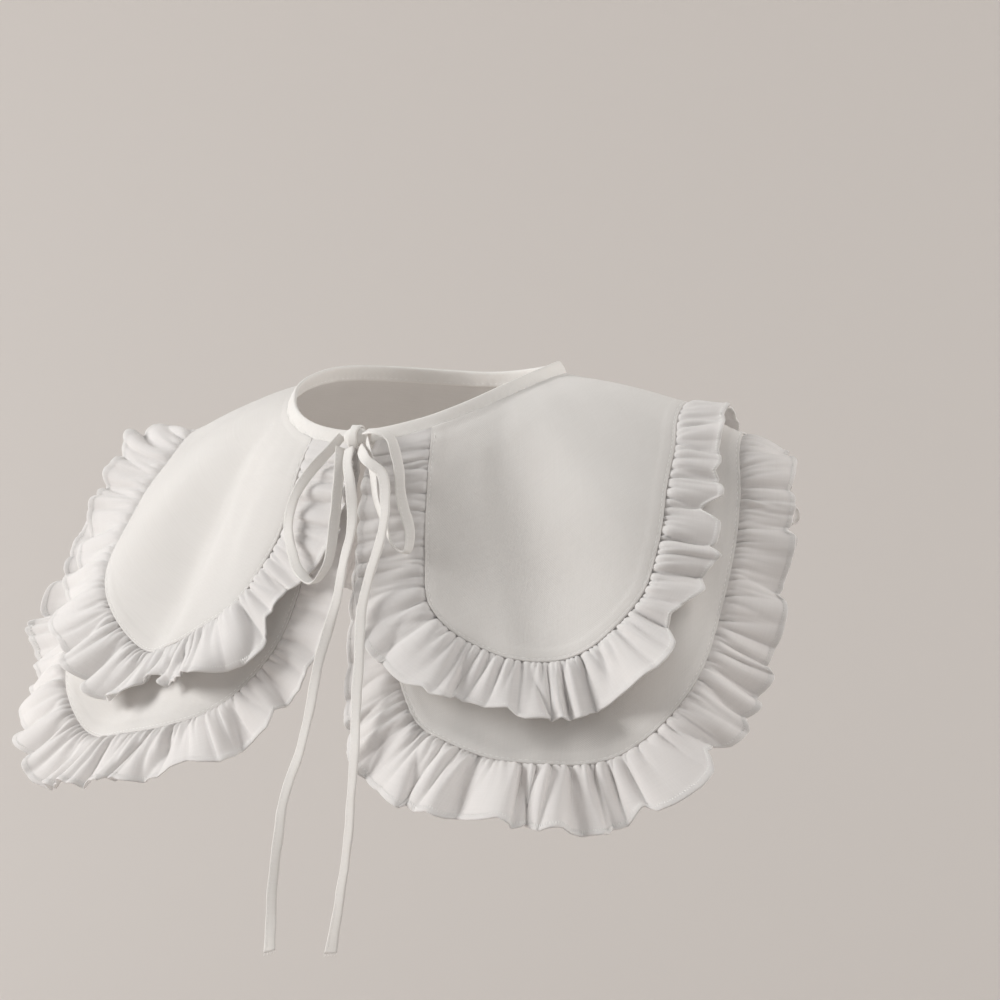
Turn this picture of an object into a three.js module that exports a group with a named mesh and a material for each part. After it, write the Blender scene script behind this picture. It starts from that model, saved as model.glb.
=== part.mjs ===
// Peter pan collar: two ruffled layers of thin cotton hung from a folded neckband, tied at the
// centre front with a bow that has two narrow loops and two long tails.
// Millimetres, +Z up, front towards -Y, +X towards the wearer's left. The origin is at the
// middle of the neck hole, level with the side of the neck.
import * as THREE from 'three';

// Neckline and neckband.
const NECK_RADIUS = 71; // lower edge of the neckband, seen from above
const NECK_MEAN_Z = -9.8; // mean height of that edge
const NECK_DIP = 16.5; // how much lower the front is than the back
const NECK_SADDLE = 7.7; // how much front and back dip below the sides
const BAND_HEIGHT = 8;
const BAND_LEAN = 66; // degrees from level
const BAND_THICKNESS = 2.6;
const BAND_END_LEFT = 10.8; // azimuth in degrees where the band meets the knot
const BAND_END_RIGHT = 360.2;

// Cloth.
const LEAF_WALL = 1.2;
const RUFFLE_WALL = 1.0;
const SEAM_GAP = 1.1; // between a leaf and its ruffle
const NECK_GAP = 1.5; // the cloth starts this far below the neckband's edge
const UPPER_LIFT_AT_NECK = 1.9; // the upper layer lies this far above the lower one
const UPPER_LIFT = 5.2; // at the front
const UPPER_LIFT_SIDE = 3.4; // over the shoulders
const UPPER_LIFT_RUN = 26; // distance over which it rises
const LEAF_SWELL = 1.2; // soft broad waves of the upper leaf
const FOLD_WAVE_UPPER = 22.5; // length of seam for each ruffle fold
const FOLD_WAVE_LOWER = 25.5;
const FOLD_LEAN = 0.34; // how far the fold crests lean sideways

// Strap of the bow.
const STRAP_WIDTH = 6.5;
const STRAP_THICKNESS = 1.6;

// Mesh steps.
const LEAF_COLUMNS = 56;
const LEAF_ROWS = 6;
const COLUMNS_PER_FOLD = 5;
const RUFFLE_ROWS = 2;
const BAND_COLUMNS = 44;
const LOOP_STEPS = 26;
const TAIL_STEPS = 30;

// The cloth falls away from the neckline at these slopes, in degrees from level.
// A row per azimuth (0 centre front, 90 shoulder, 180 centre back), the same on both sides.
const SLOPE_DISTANCE = [0, 50, 100, 150, 200, 260];
const SLOPES = [
  { azimuth: 0, slope: [74, 76, 75, 72, 68, 66] },
  { azimuth: 30, slope: [69, 71, 66, 59, 54, 54] },
  { azimuth: 50, slope: [62, 67, 64, 55, 47, 47] },
  { azimuth: 60, slope: [51, 61, 62, 56, 50, 50] },
  { azimuth: 70, slope: [26, 36, 48, 60, 64, 66] },
  { azimuth: 78, slope: [15, 26, 44, 64, 70, 74] },
  { azimuth: 84, slope: [11, 20, 36, 62, 74, 76] },
  { azimuth: 90, slope: [8, 13, 25, 56, 72, 76] },
  { azimuth: 100, slope: [15, 20, 31, 54, 68, 72] },
  { azimuth: 115, slope: [25, 32, 42, 56, 64, 68] },
  { azimuth: 135, slope: [34, 44, 52, 60, 62, 64] },
  { azimuth: 180, slope: [46, 58, 63, 62, 60, 60] },
];
// The wearer's right shoulder falls off a little more.
const RIGHT_DROP = 9; // degrees
const RIGHT_DROP_SPREAD = 28; // degrees of azimuth on either side
const RIGHT_DROP_END = 120; // distance at which it has faded out

// Outer seam of each layer, walked from the front edge on the wearer's left round the back to
// the front edge on the right. distance: from the neckline along the cloth; width: of the
// ruffle; depth: of its folds at the hem; flare: angle at which it stands off, in degrees.
const UPPER_SEAM = [
  { azimuth: 34.5, distance: 0, width: 29, depth: 3, flare: 0 },
  { azimuth: 33, distance: 30, width: 31, depth: 4, flare: 0 },
  { azimuth: 32.5, distance: 67, width: 32, depth: 4, flare: 1 },
  { azimuth: 33.5, distance: 93, width: 32, depth: 6, flare: 3 },
  { azimuth: 37.5, distance: 107, width: 31, depth: 8, flare: 4 },
  { azimuth: 45, distance: 123, width: 31, depth: 9, flare: 5 },
  { azimuth: 52, distance: 136, width: 31, depth: 9, flare: 5 },
  { azimuth: 58.5, distance: 143, width: 31, depth: 9, flare: 5 },
  { azimuth: 64, distance: 147, width: 29, depth: 9, flare: 4 },
  { azimuth: 68.5, distance: 143, width: 27, depth: 9, flare: 3 },
  { azimuth: 72, distance: 128, width: 25, depth: 8, flare: 3 },
  { azimuth: 77.5, distance: 105, width: 23, depth: 7, flare: 3 },
  { azimuth: 82.5, distance: 92, width: 22, depth: 6, flare: 3 },
  { azimuth: 88, distance: 81, width: 22, depth: 6, flare: 4 },
  { azimuth: 100, distance: 80, width: 23, depth: 6, flare: 4 },
  { azimuth: 125, distance: 86, width: 30, depth: 8, flare: 5 },
  { azimuth: 155, distance: 92, width: 31, depth: 8, flare: 5 },
  { azimuth: 180, distance: 94, width: 31, depth: 8, flare: 5 },
  { azimuth: 205, distance: 92, width: 31, depth: 8, flare: 5 },
  { azimuth: 235, distance: 86, width: 30, depth: 8, flare: 5 },
  { azimuth: 258, distance: 78, width: 30, depth: 7, flare: 14 },
  { azimuth: 270, distance: 80, width: 31, depth: 8, flare: 22 },
  { azimuth: 275.5, distance: 90, width: 31, depth: 8, flare: 22 },
  { azimuth: 280, distance: 106, width: 31, depth: 9, flare: 18 },
  { azimuth: 284.5, distance: 122, width: 31, depth: 9, flare: 13 },
  { azimuth: 288.5, distance: 135, width: 30, depth: 9, flare: 9 },
  { azimuth: 292, distance: 143, width: 30, depth: 9, flare: 7 },
  { azimuth: 297.5, distance: 147, width: 31, depth: 9, flare: 5 },
  { azimuth: 307, distance: 136, width: 32, depth: 9, flare: 5 },
  { azimuth: 318.5, distance: 115, width: 32, depth: 9, flare: 5 },
  { azimuth: 329.5, distance: 94, width: 33, depth: 8, flare: 4 },
  { azimuth: 335.5, distance: 71, width: 36, depth: 6, flare: 2 },
  { azimuth: 340, distance: 49, width: 36, depth: 4, flare: 0 },
  { azimuth: 341, distance: 28, width: 34, depth: 4, flare: 0 },
  { azimuth: 339.5, distance: 0, width: 31, depth: 3, flare: 0 },
];
const LOWER_SEAM = [
  { azimuth: 28, distance: 0, width: 21, depth: 1.6, flare: 0 },
  { azimuth: 25, distance: 40, width: 22, depth: 2, flare: 0 },
  { azimuth: 23, distance: 81, width: 23, depth: 2.4, flare: 0 },
  { azimuth: 24, distance: 110, width: 26, depth: 2.4, flare: 0 },
  { azimuth: 26.5, distance: 130, width: 31, depth: 4, flare: 0 },
  { azimuth: 30, distance: 150, width: 34, depth: 7, flare: 2 },
  { azimuth: 37, distance: 167, width: 37, depth: 11, flare: 3 },
  { azimuth: 44, distance: 181, width: 38, depth: 12, flare: 4 },
  { azimuth: 52, distance: 192, width: 38, depth: 12, flare: 4 },
  { azimuth: 57.5, distance: 198, width: 38, depth: 12, flare: 3 },
  { azimuth: 62.5, distance: 201, width: 36, depth: 10, flare: 1 },
  { azimuth: 66, distance: 200, width: 33, depth: 9, flare: 0 },
  { azimuth: 70, distance: 195, width: 31, depth: 8, flare: 0 },
  { azimuth: 73.5, distance: 186, width: 29, depth: 8, flare: 0 },
  { azimuth: 77.5, distance: 171, width: 27, depth: 8, flare: 0 },
  { azimuth: 81.5, distance: 152, width: 25, depth: 7, flare: 0 },
  { azimuth: 85, distance: 134, width: 23, depth: 7, flare: 2 },
  { azimuth: 89, distance: 116, width: 22, depth: 6, flare: 4 },
  { azimuth: 97, distance: 108, width: 23, depth: 6, flare: 4 },
  { azimuth: 112, distance: 115, width: 29, depth: 8, flare: 4 },
  { azimuth: 140, distance: 128, width: 36, depth: 10, flare: 5 },
  { azimuth: 180, distance: 134, width: 37, depth: 10, flare: 5 },
  { azimuth: 220, distance: 128, width: 36, depth: 10, flare: 5 },
  { azimuth: 246, distance: 116, width: 34, depth: 9, flare: 10 },
  { azimuth: 262, distance: 112, width: 33, depth: 8, flare: 20 },
  { azimuth: 271, distance: 122, width: 35, depth: 9, flare: 18 },
  { azimuth: 275.5, distance: 141, width: 36, depth: 10, flare: 24 },
  { azimuth: 279, distance: 157, width: 36, depth: 10, flare: 30 },
  { azimuth: 283.5, distance: 172, width: 36, depth: 10, flare: 28 },
  { azimuth: 288, distance: 184, width: 35, depth: 9, flare: 17 },
  { azimuth: 292.5, distance: 194, width: 34, depth: 8, flare: 6 },
  { azimuth: 298, distance: 199, width: 33, depth: 9, flare: 0 },
  { azimuth: 304, distance: 194, width: 33, depth: 10, flare: 0 },
  { azimuth: 315, distance: 177, width: 34, depth: 11, flare: 1 },
  { azimuth: 323.5, distance: 165, width: 34, depth: 11, flare: 2 },
  { azimuth: 333, distance: 149, width: 32, depth: 9, flare: 1 },
  { azimuth: 337.5, distance: 137, width: 28, depth: 7, flare: 1 },
  { azimuth: 342, distance: 121, width: 26, depth: 5, flare: 0 },
  { azimuth: 346.5, distance: 101, width: 25, depth: 3, flare: 0 },
  { azimuth: 349, distance: 80, width: 25, depth: 2.4, flare: 0 },
  { azimuth: 349, distance: 40, width: 25, depth: 2, flare: 0 },
  { azimuth: 347, distance: 0, width: 24, depth: 1.6, flare: 0 },
];

// The bow. A strap is drawn along the points of its middle line; turn is how far its flat side
// is turned away from the front, in degrees (90 stands on edge). The points are for a neckline
// that passes through BOW_SEAT, and the whole bow moves with the neckline when that changes.
const BOW_SEAT = { azimuth: 5.5, radius: 71, z: -33.78 };
const KNOT = { x: 7.5, y: -77.5, z: -30, width: 13, depth: 9, height: 11.5 };
const LOOP_RIGHT = [
  { x: -0.4, y: -77.6, z: -29.4, turn: 50 },
  { x: -8.5, y: -84, z: -41, turn: 55 },
  { x: -18, y: -90, z: -56, turn: 60 },
  { x: -21.5, y: -94, z: -71, turn: 60 },
  { x: -17, y: -98, z: -84, turn: 65 },
  { x: -8, y: -102, z: -97, turn: 75 },
  { x: -1, y: -103, z: -101.5, turn: 80 },
  { x: 5.5, y: -102, z: -95, turn: 75 },
  { x: 7.5, y: -99, z: -84, turn: 65 },
  { x: 7, y: -95, z: -70, turn: 60 },
  { x: 5, y: -89.5, z: -52, turn: 55 },
  { x: 3.6, y: -85.6, z: -42, turn: 55 },
  { x: 1.2, y: -81.2, z: -35.4, turn: 50 },
];
const LOOP_LEFT = [
  { x: 14.2, y: -78.4, z: -27.6, turn: 60 },
  { x: 22, y: -82, z: -27.5, turn: 65 },
  { x: 30, y: -82, z: -30.5, turn: 65 },
  { x: 36, y: -84, z: -41, turn: 55 },
  { x: 42, y: -89, z: -62, turn: 50 },
  { x: 49, y: -93, z: -80, turn: 60 },
  { x: 48.5, y: -95, z: -86, turn: 75 },
  { x: 43, y: -95, z: -85, turn: 70 },
  { x: 35, y: -93.5, z: -72, turn: 30 },
  { x: 28.5, y: -91, z: -60, turn: 20 },
  { x: 23.5, y: -87, z: -46, turn: 20 },
  { x: 15.1, y: -79.0, z: -31.4, turn: 40 },
];
const TAIL_LEFT = [
  { x: 11.8, y: -79.9, z: -35.4, turn: 0 },
  { x: 15.5, y: -84, z: -37.5, turn: 10 },
  { x: 22, y: -90, z: -41.5, turn: 20 },
  { x: 31, y: -91, z: -48, turn: 20 },
  { x: 37, y: -96, z: -63, turn: 5 },
  { x: 38, y: -100, z: -76, turn: 0 },
  { x: 35, y: -102, z: -88, turn: 0 },
  { x: 31.5, y: -104.5, z: -103, turn: 5 },
  { x: 31, y: -108.5, z: -119, turn: 10 },
  { x: 34, y: -115, z: -139, turn: 10 },
  { x: 38, y: -123, z: -160, turn: 5 },
  { x: 42, y: -131, z: -183, turn: 0 },
  { x: 41, y: -132.5, z: -208, turn: 0 },
  { x: 36, y: -132, z: -243, turn: -5 },
  { x: 28.5, y: -131, z: -276, turn: 5 },
];
const TAIL_RIGHT = [
  { x: 6.4, y: -81.6, z: -35.8, turn: 0 },
  { x: 10, y: -88.6, z: -43.5, turn: 10 },
  { x: 14.5, y: -93.5, z: -52, turn: 20 },
  { x: 18.5, y: -97, z: -66, turn: 20 },
  { x: 19.5, y: -100, z: -78, turn: 5 },
  { x: 17, y: -102, z: -89, turn: -5 },
  { x: 16, y: -104, z: -101, turn: 0 },
  { x: 14.5, y: -107, z: -115, turn: 5 },
  { x: 11, y: -109.5, z: -128, turn: 10 },
  { x: 9, y: -113, z: -141, turn: 10 },
  { x: 8.5, y: -118, z: -160, turn: 0 },
  { x: 3.5, y: -121, z: -183, turn: 0 },
  { x: -2, y: -124, z: -202, turn: 10 },
  { x: -5.5, y: -127, z: -230, turn: 15 },
  { x: -7, y: -131, z: -278, turn: 5 },
];

const COLOURS = {
  cotton: { color: 0xf1eeea, roughness: 0.9, metalness: 0 },
};

const rad = (d) => (d * Math.PI) / 180;
const clamp = (v, a, b) => Math.min(b, Math.max(a, v));
const ease = (v) => {
  const t = clamp(v, 0, 1);
  return t * t * (3 - 2 * t);
};

// Smooth curve through the values ys at the places xs.
function spline(xs, ys) {
  const n = xs.length;
  const tan = ys.map((_, i) => {
    if (i === 0) return (ys[1] - ys[0]) / (xs[1] - xs[0]);
    if (i === n - 1) return (ys[n - 1] - ys[n - 2]) / (xs[n - 1] - xs[n - 2]);
    const h0 = xs[i] - xs[i - 1];
    const h1 = xs[i + 1] - xs[i];
    return (((ys[i] - ys[i - 1]) / h0) * h1 + ((ys[i + 1] - ys[i]) / h1) * h0) / (h0 + h1);
  });
  return (x) => {
    let i = 0;
    while (i < n - 2 && x > xs[i + 1]) i++;
    const h = xs[i + 1] - xs[i];
    const t = clamp((x - xs[i]) / h, 0, 1);
    const a = t * t * (3 - 2 * t);
    const b = t * (1 - t) * (1 - t) * h;
    const c = -t * t * (1 - t) * h;
    return ys[i] * (1 - a) + ys[i + 1] * a + tan[i] * b + tan[i + 1] * c;
  };
}

// Height of the neckline at an azimuth.
const neckZ = (azimuth) =>
  NECK_MEAN_Z - NECK_DIP * Math.cos(rad(azimuth)) - NECK_SADDLE * Math.cos(rad(2 * azimuth));

// A point of the bow, moved with the neckline.
function bowPoint(x, y, z) {
  const angle = rad(BOW_SEAT.azimuth);
  const out = NECK_RADIUS - BOW_SEAT.radius;
  const rise = neckZ(BOW_SEAT.azimuth) - BOW_SEAT.z;
  return new THREE.Vector3(x + out * Math.sin(angle), y - out * Math.cos(angle), z + rise);
}

// The drape: radius and height at a distance from the neckline, held on a fine grid.
const AZ_STEP = 2;
const RUN_STEP = 4;
const RUN_COUNT = 70;
const slopeColumns = SLOPE_DISTANCE.map((_, k) => {
  const xs = SLOPES.map((row) => row.azimuth);
  const ys = SLOPES.map((row) => row.slope[k]);
  return spline([-xs[1], ...xs, 360 - xs[xs.length - 2]], [ys[1], ...ys, ys[ys.length - 2]]);
});
const profiles = [];
for (let azimuth = 0; azimuth <= 360; azimuth += AZ_STEP) {
  const folded = azimuth > 180 ? 360 - azimuth : azimuth;
  const slope = spline(SLOPE_DISTANCE, slopeColumns.map((column) => column(folded)));
  const drop = RIGHT_DROP * Math.exp(-(((azimuth - 270) / RIGHT_DROP_SPREAD) ** 2));
  const profile = [[NECK_RADIUS, neckZ(azimuth)]];
  for (let k = 1; k < RUN_COUNT; k++) {
    const run = (k - 0.5) * RUN_STEP;
    const angle = rad(slope(run) + drop * clamp((RIGHT_DROP_END - run) / 60, 0, 1));
    const [r, z] = profile[k - 1];
    profile.push([r + RUN_STEP * Math.cos(angle), z - RUN_STEP * Math.sin(angle)]);
  }
  profiles.push(profile);
}
function drape(azimuth, distance) {
  const turned = ((azimuth % 360) + 360) % 360;
  const i = Math.min(profiles.length - 2, Math.floor(turned / AZ_STEP));
  const k = clamp(Math.floor(distance / RUN_STEP), 0, RUN_COUNT - 2);
  const u = turned / AZ_STEP - i;
  const v = distance / RUN_STEP - k;
  const mix = (c) =>
    (profiles[i][k][c] * (1 - v) + profiles[i][k + 1][c] * v) * (1 - u) +
    (profiles[i + 1][k][c] * (1 - v) + profiles[i + 1][k + 1][c] * v) * u;
  const r = mix(0);
  return new THREE.Vector3(r * Math.sin(rad(azimuth)), -r * Math.cos(rad(azimuth)), mix(1));
}
function along(azimuth, distance) {
  const da = 1.5;
  const ds = 3;
  const byAzimuth = drape(azimuth + da, distance).sub(drape(azimuth - da, distance)).divideScalar(2 * da);
  const low = Math.max(0, distance - ds);
  const byDistance = drape(azimuth, distance + ds).sub(drape(azimuth, low)).divideScalar(distance + ds - low);
  const normal = byDistance.clone().cross(byAzimuth).normalize();
  return { byAzimuth, byDistance, normal };
}

// The seam of a layer: place and columns of the table at a length along it.
function seamPath(rows) {
  const flat = rows.map((row) => [
    (NECK_RADIUS + row.distance) * Math.sin(rad(row.azimuth)),
    -(NECK_RADIUS + row.distance) * Math.cos(rad(row.azimuth)),
  ]);
  const chord = [0];
  for (let i = 1; i < flat.length; i++) {
    chord.push(chord[i - 1] + Math.hypot(flat[i][0] - flat[i - 1][0], flat[i][1] - flat[i - 1][1]));
  }
  const x = spline(chord, flat.map((p) => p[0]));
  const y = spline(chord, flat.map((p) => p[1]));
  const column = (name) => spline(chord, rows.map((row) => row[name]));
  const width = column('width');
  const depth = column('depth');
  const flare = column('flare');
  const total = chord[chord.length - 1];
  const place = (c) => {
    const px = x(c);
    const py = y(c);
    const azimuth = ((Math.atan2(px, -py) * 180) / Math.PI + 360) % 360;
    return { azimuth, distance: Math.max(NECK_GAP, Math.hypot(px, py) - NECK_RADIUS) };
  };
  // lengths on the draped cloth
  const steps = 600;
  const lengths = [0];
  let last = null;
  for (let i = 0; i <= steps; i++) {
    const p = place((total * i) / steps);
    const q = drape(p.azimuth, p.distance);
    if (last) lengths.push(lengths[lengths.length - 1] + q.distanceTo(last));
    last = q;
  }
  const length = lengths[steps];
  const chordAt = (l) => {
    let lo = 0;
    let hi = steps;
    while (hi - lo > 1) {
      const mid = (lo + hi) >> 1;
      if (lengths[mid] <= l) lo = mid;
      else hi = mid;
    }
    return (total * (lo + (l - lengths[lo]) / (lengths[hi] - lengths[lo]))) / steps;
  };
  const at = (l) => {
    const c = chordAt(clamp(l, 0, length));
    return { ...place(c), width: width(c), depth: depth(c), flare: flare(c) };
  };
  return { length, at, flatAt: (l) => { const c = chordAt(clamp(l, 0, length)); return [x(c), y(c)]; } };
}

// How far a layer lies above the drape.
function liftOf(upper, azimuth, distance) {
  if (!upper) return 0;
  const side = ease((Math.min(azimuth, 360 - azimuth) - 45) / 35);
  const full = UPPER_LIFT + (UPPER_LIFT_SIDE - UPPER_LIFT) * side;
  return UPPER_LIFT_AT_NECK + (full - UPPER_LIFT_AT_NECK) * ease(distance / UPPER_LIFT_RUN);
}

// Closed shell from a grid of points: the grid is the inner side, the wall is added outwards.
function shell(grid, wall, name) {
  const rows = grid.length;
  const cols = grid[0].length;
  const at = (i, j) => grid[clamp(i, 0, rows - 1)][clamp(j, 0, cols - 1)];
  const positions = [];
  for (let i = 0; i < rows; i++) {
    for (let j = 0; j < cols; j++) positions.push(...at(i, j).toArray());
  }
  for (let i = 0; i < rows; i++) {
    for (let j = 0; j < cols; j++) {
      const a = at(i + 1, j).clone().sub(at(i - 1, j));
      const b = at(i, j + 1).clone().sub(at(i, j - 1));
      const n = a.cross(b).normalize();
      positions.push(...at(i, j).clone().addScaledVector(n, wall).toArray());
    }
  }
  const index = [];
  const id = (side, i, j) => side * rows * cols + i * cols + j;
  for (let i = 0; i < rows - 1; i++) {
    for (let j = 0; j < cols - 1; j++) {
      const [a, b, c, d] = [id(1, i, j), id(1, i + 1, j), id(1, i + 1, j + 1), id(1, i, j + 1)];
      index.push(a, b, c, a, c, d);
      const [e, f, g, h] = [id(0, i, j), id(0, i + 1, j), id(0, i + 1, j + 1), id(0, i, j + 1)];
      index.push(e, g, f, e, h, g);
    }
  }
  const rim = (i0, j0, i1, j1) => {
    const [a, b, c, d] = [id(0, i0, j0), id(0, i1, j1), id(1, i1, j1), id(1, i0, j0)];
    index.push(a, b, c, a, c, d);
  };
  for (let j = 0; j < cols - 1; j++) {
    rim(0, j + 1, 0, j);
    rim(rows - 1, j, rows - 1, j + 1);
  }
  for (let i = 0; i < rows - 1; i++) {
    rim(i, 0, i + 1, 0);
    rim(i + 1, cols - 1, i, cols - 1);
  }
  return solid(positions, index, name);
}

// Closed solid lofted through rings of points, with flat ends.
function loft(rings, name) {
  const n = rings[0].length;
  const positions = rings.flat().flatMap((p) => p.toArray());
  const index = [];
  for (let i = 0; i < rings.length - 1; i++) {
    for (let j = 0; j < n; j++) {
      const [a, b, c, d] = [i * n + j, i * n + ((j + 1) % n), (i + 1) * n + ((j + 1) % n), (i + 1) * n + j];
      index.push(a, b, c, a, c, d);
    }
  }
  for (let j = 1; j < n - 1; j++) {
    index.push(0, j + 1, j);
    const base = (rings.length - 1) * n;
    index.push(base, base + j, base + j + 1);
  }
  return solid(positions, index, name);
}

function solid(positions, index, name) {
  let volume = 0;
  const p = (k) => new THREE.Vector3(positions[3 * k], positions[3 * k + 1], positions[3 * k + 2]);
  for (let t = 0; t < index.length; t += 3) {
    volume += p(index[t]).dot(p(index[t + 1]).cross(p(index[t + 2])));
  }
  if (volume < 0) {
    for (let t = 0; t < index.length; t += 3) [index[t], index[t + 1]] = [index[t + 1], index[t]];
  }
  const geometry = new THREE.BufferGeometry();
  geometry.setAttribute('position', new THREE.Float32BufferAttribute(positions, 3));
  geometry.setIndex(index);
  geometry.computeVertexNormals();
  const mesh = new THREE.Mesh(geometry, new THREE.MeshStandardMaterial(COLOURS.cotton));
  mesh.name = name;
  return mesh;
}

// A leaf: a grid from the neckline out to the seam.
function leaf(rows, upper, name) {
  const path = seamPath(rows);
  // the corners where the front edges turn into the lower edge
  const cornerAt = (from, to, sign) => {
    let best = from;
    let bestValue = -Infinity;
    for (let l = from; l <= to; l += 1) {
      const p = drape(path.at(l).azimuth, path.at(l).distance);
      const value = -sign * p.x * 0.75 - p.z;
      if (value > bestValue) [best, bestValue] = [l, value];
    }
    return best;
  };
  const startCorner = cornerAt(0, 260, 1);
  const endCorner = cornerAt(path.length - 260, path.length, -1);
  const first = path.at(startCorner).azimuth;
  const last = path.at(endCorner).azimuth;
  const neckFirst = rows[0].azimuth;
  const neckLast = rows[rows.length - 1].azimuth;
  const flatNeck = (azimuth) => [
    (NECK_RADIUS + NECK_GAP) * Math.sin(rad(azimuth)),
    -(NECK_RADIUS + NECK_GAP) * Math.cos(rad(azimuth)),
  ];
  const grid = [];
  for (let i = 0; i <= LEAF_ROWS; i++) {
    const b = i / LEAF_ROWS;
    const line = [];
    for (let j = 0; j <= LEAF_COLUMNS; j++) {
      const a = j / LEAF_COLUMNS;
      const l = startCorner + (endCorner - startCorner) * a;
      const seamAzimuth = path.at(l).azimuth;
      const outer = path.flatAt(l);
      const inner = flatNeck(neckFirst + ((seamAzimuth - first) / (last - first)) * (neckLast - neckFirst));
      let x = inner[0] * (1 - b) + outer[0] * b;
      let y = inner[1] * (1 - b) + outer[1] * b;
      for (const [edge, corner, weight] of [
        [b * startCorner, startCorner, 1 - ease(a / 0.12)],
        [path.length - b * (path.length - endCorner), endCorner, 1 - ease((1 - a) / 0.12)],
      ]) {
        if (weight <= 0) continue;
        const onEdge = path.flatAt(edge);
        const from = flatNeck(corner === startCorner ? neckFirst : neckLast);
        const to = path.flatAt(corner);
        x += weight * (onEdge[0] - from[0] * (1 - b) - to[0] * b);
        y += weight * (onEdge[1] - from[1] * (1 - b) - to[1] * b);
      }
      const azimuth = ((Math.atan2(x, -y) * 180) / Math.PI + 360) % 360;
      const distance = Math.max(NECK_GAP, Math.hypot(x, y) - NECK_RADIUS);
      const swell = upper
        ? LEAF_SWELL * ease(distance / 60) * 0.5 * (1 + Math.sin(rad(azimuth * 9)) * Math.cos(distance / 31))
        : 0;
      const lift = liftOf(upper, azimuth, distance) + swell;
      line.push(drape(azimuth, distance).addScaledVector(along(azimuth, distance).normal, lift));
    }
    grid.push(line);
  }
  return shell(grid, LEAF_WALL, name);
}

// A ruffle: a strip walked outwards from the seam over the drape, with folds that open to the hem.
function ruffle(rows, upper, wave, name) {
  const path = seamPath(rows);
  const columns = Math.round((path.length / wave) * COLUMNS_PER_FOLD);
  const grid = Array.from({ length: RUFFLE_ROWS + 1 }, () => []);
  for (let j = 0; j <= columns; j++) {
    const l = (path.length * j) / columns;
    const here = path.at(l);
    const before = path.at(l - 2);
    const after = path.at(l + 2);
    const seam = drape(after.azimuth, after.distance).sub(drape(before.azimuth, before.distance)).normalize();
    const end = Math.min(l, path.length - l);
    const phase = 2 * Math.PI * (l / wave + 0.15 * Math.sin(l / 15.5 + 1) + 0.1 * Math.sin(l / 9.7 + 2.3));
    const size = here.depth * (0.78 + 0.22 * Math.sin(l / 22.7 + 0.7)) * ease(end / 12 + 0.25);
    for (let i = 0; i <= RUFFLE_ROWS; i++) {
      const f = i / RUFFLE_ROWS;
      const run = SEAM_GAP + (here.width - SEAM_GAP) * f;
      const flare = rad(here.flare);
      let { azimuth, distance } = here;
      const pieces = Math.max(1, Math.round(run / 6));
      const step = (run * Math.cos(flare)) / pieces;
      let along_ = along(azimuth, distance);
      for (let k = 0; k < pieces; k++) {
        along_ = along(azimuth, distance);
        const out = seam.clone().cross(along_.normal).normalize();
        // at the neckline the strip runs level with the band
        const level = along_.byAzimuth.clone().normalize();
        if (level.dot(out) < 0) level.negate();
        out.lerp(level, 1 - ease(end / 30)).normalize();
        const e = along_.byAzimuth;
        const g = along_.byDistance;
        const ee = e.dot(e);
        const eg = e.dot(g);
        const gg = g.dot(g);
        const oe = out.dot(e);
        const og = out.dot(g);
        const det = ee * gg - eg * eg;
        azimuth += (step * (oe * gg - og * eg)) / det;
        distance = Math.max(NECK_GAP, distance + (step * (og * ee - oe * eg)) / det);
      }
      along_ = along(azimuth, distance);
      const open = Math.pow(f, 1.25);
      const lift =
        liftOf(upper, here.azimuth, Math.min(here.distance, distance)) +
        run * Math.sin(flare) * Math.sqrt(f) +
        size * open * 0.5 * (1 - Math.cos(phase));
      const lean = -size * open * FOLD_LEAN * Math.sin(2 * phase) * 0.5;
      grid[i].push(
        drape(azimuth, distance).addScaledVector(along_.normal, lift).addScaledVector(seam, lean),
      );
    }
  }
  return shell(grid, RUFFLE_WALL, name);
}

function neckband() {
  const lean = rad(BAND_LEAN);
  const half = BAND_THICKNESS / 2;
  const inset = 0.7;
  // section: up along the band and out across it
  const section = [
    [0, 0], [inset, -half], [BAND_HEIGHT - inset, -half],
    [BAND_HEIGHT, 0], [BAND_HEIGHT - inset, half], [inset, half],
  ];
  const rings = [];
  for (let j = 0; j <= BAND_COLUMNS; j++) {
    const azimuth = BAND_END_LEFT + ((BAND_END_RIGHT - BAND_END_LEFT) * j) / BAND_COLUMNS;
    const out = new THREE.Vector3(Math.sin(rad(azimuth)), -Math.cos(rad(azimuth)), 0);
    const up = out.clone().multiplyScalar(-Math.cos(lean)).add(new THREE.Vector3(0, 0, Math.sin(lean)));
    const across = out.clone().multiplyScalar(Math.sin(lean)).add(new THREE.Vector3(0, 0, Math.cos(lean)));
    const base = out.clone().multiplyScalar(NECK_RADIUS).setZ(neckZ(azimuth)).addScaledVector(across, 0.1);
    rings.push(section.map(([u, v]) => base.clone().addScaledVector(up, u).addScaledVector(across, v)));
  }
  return loft(rings, 'neckband');
}

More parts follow.
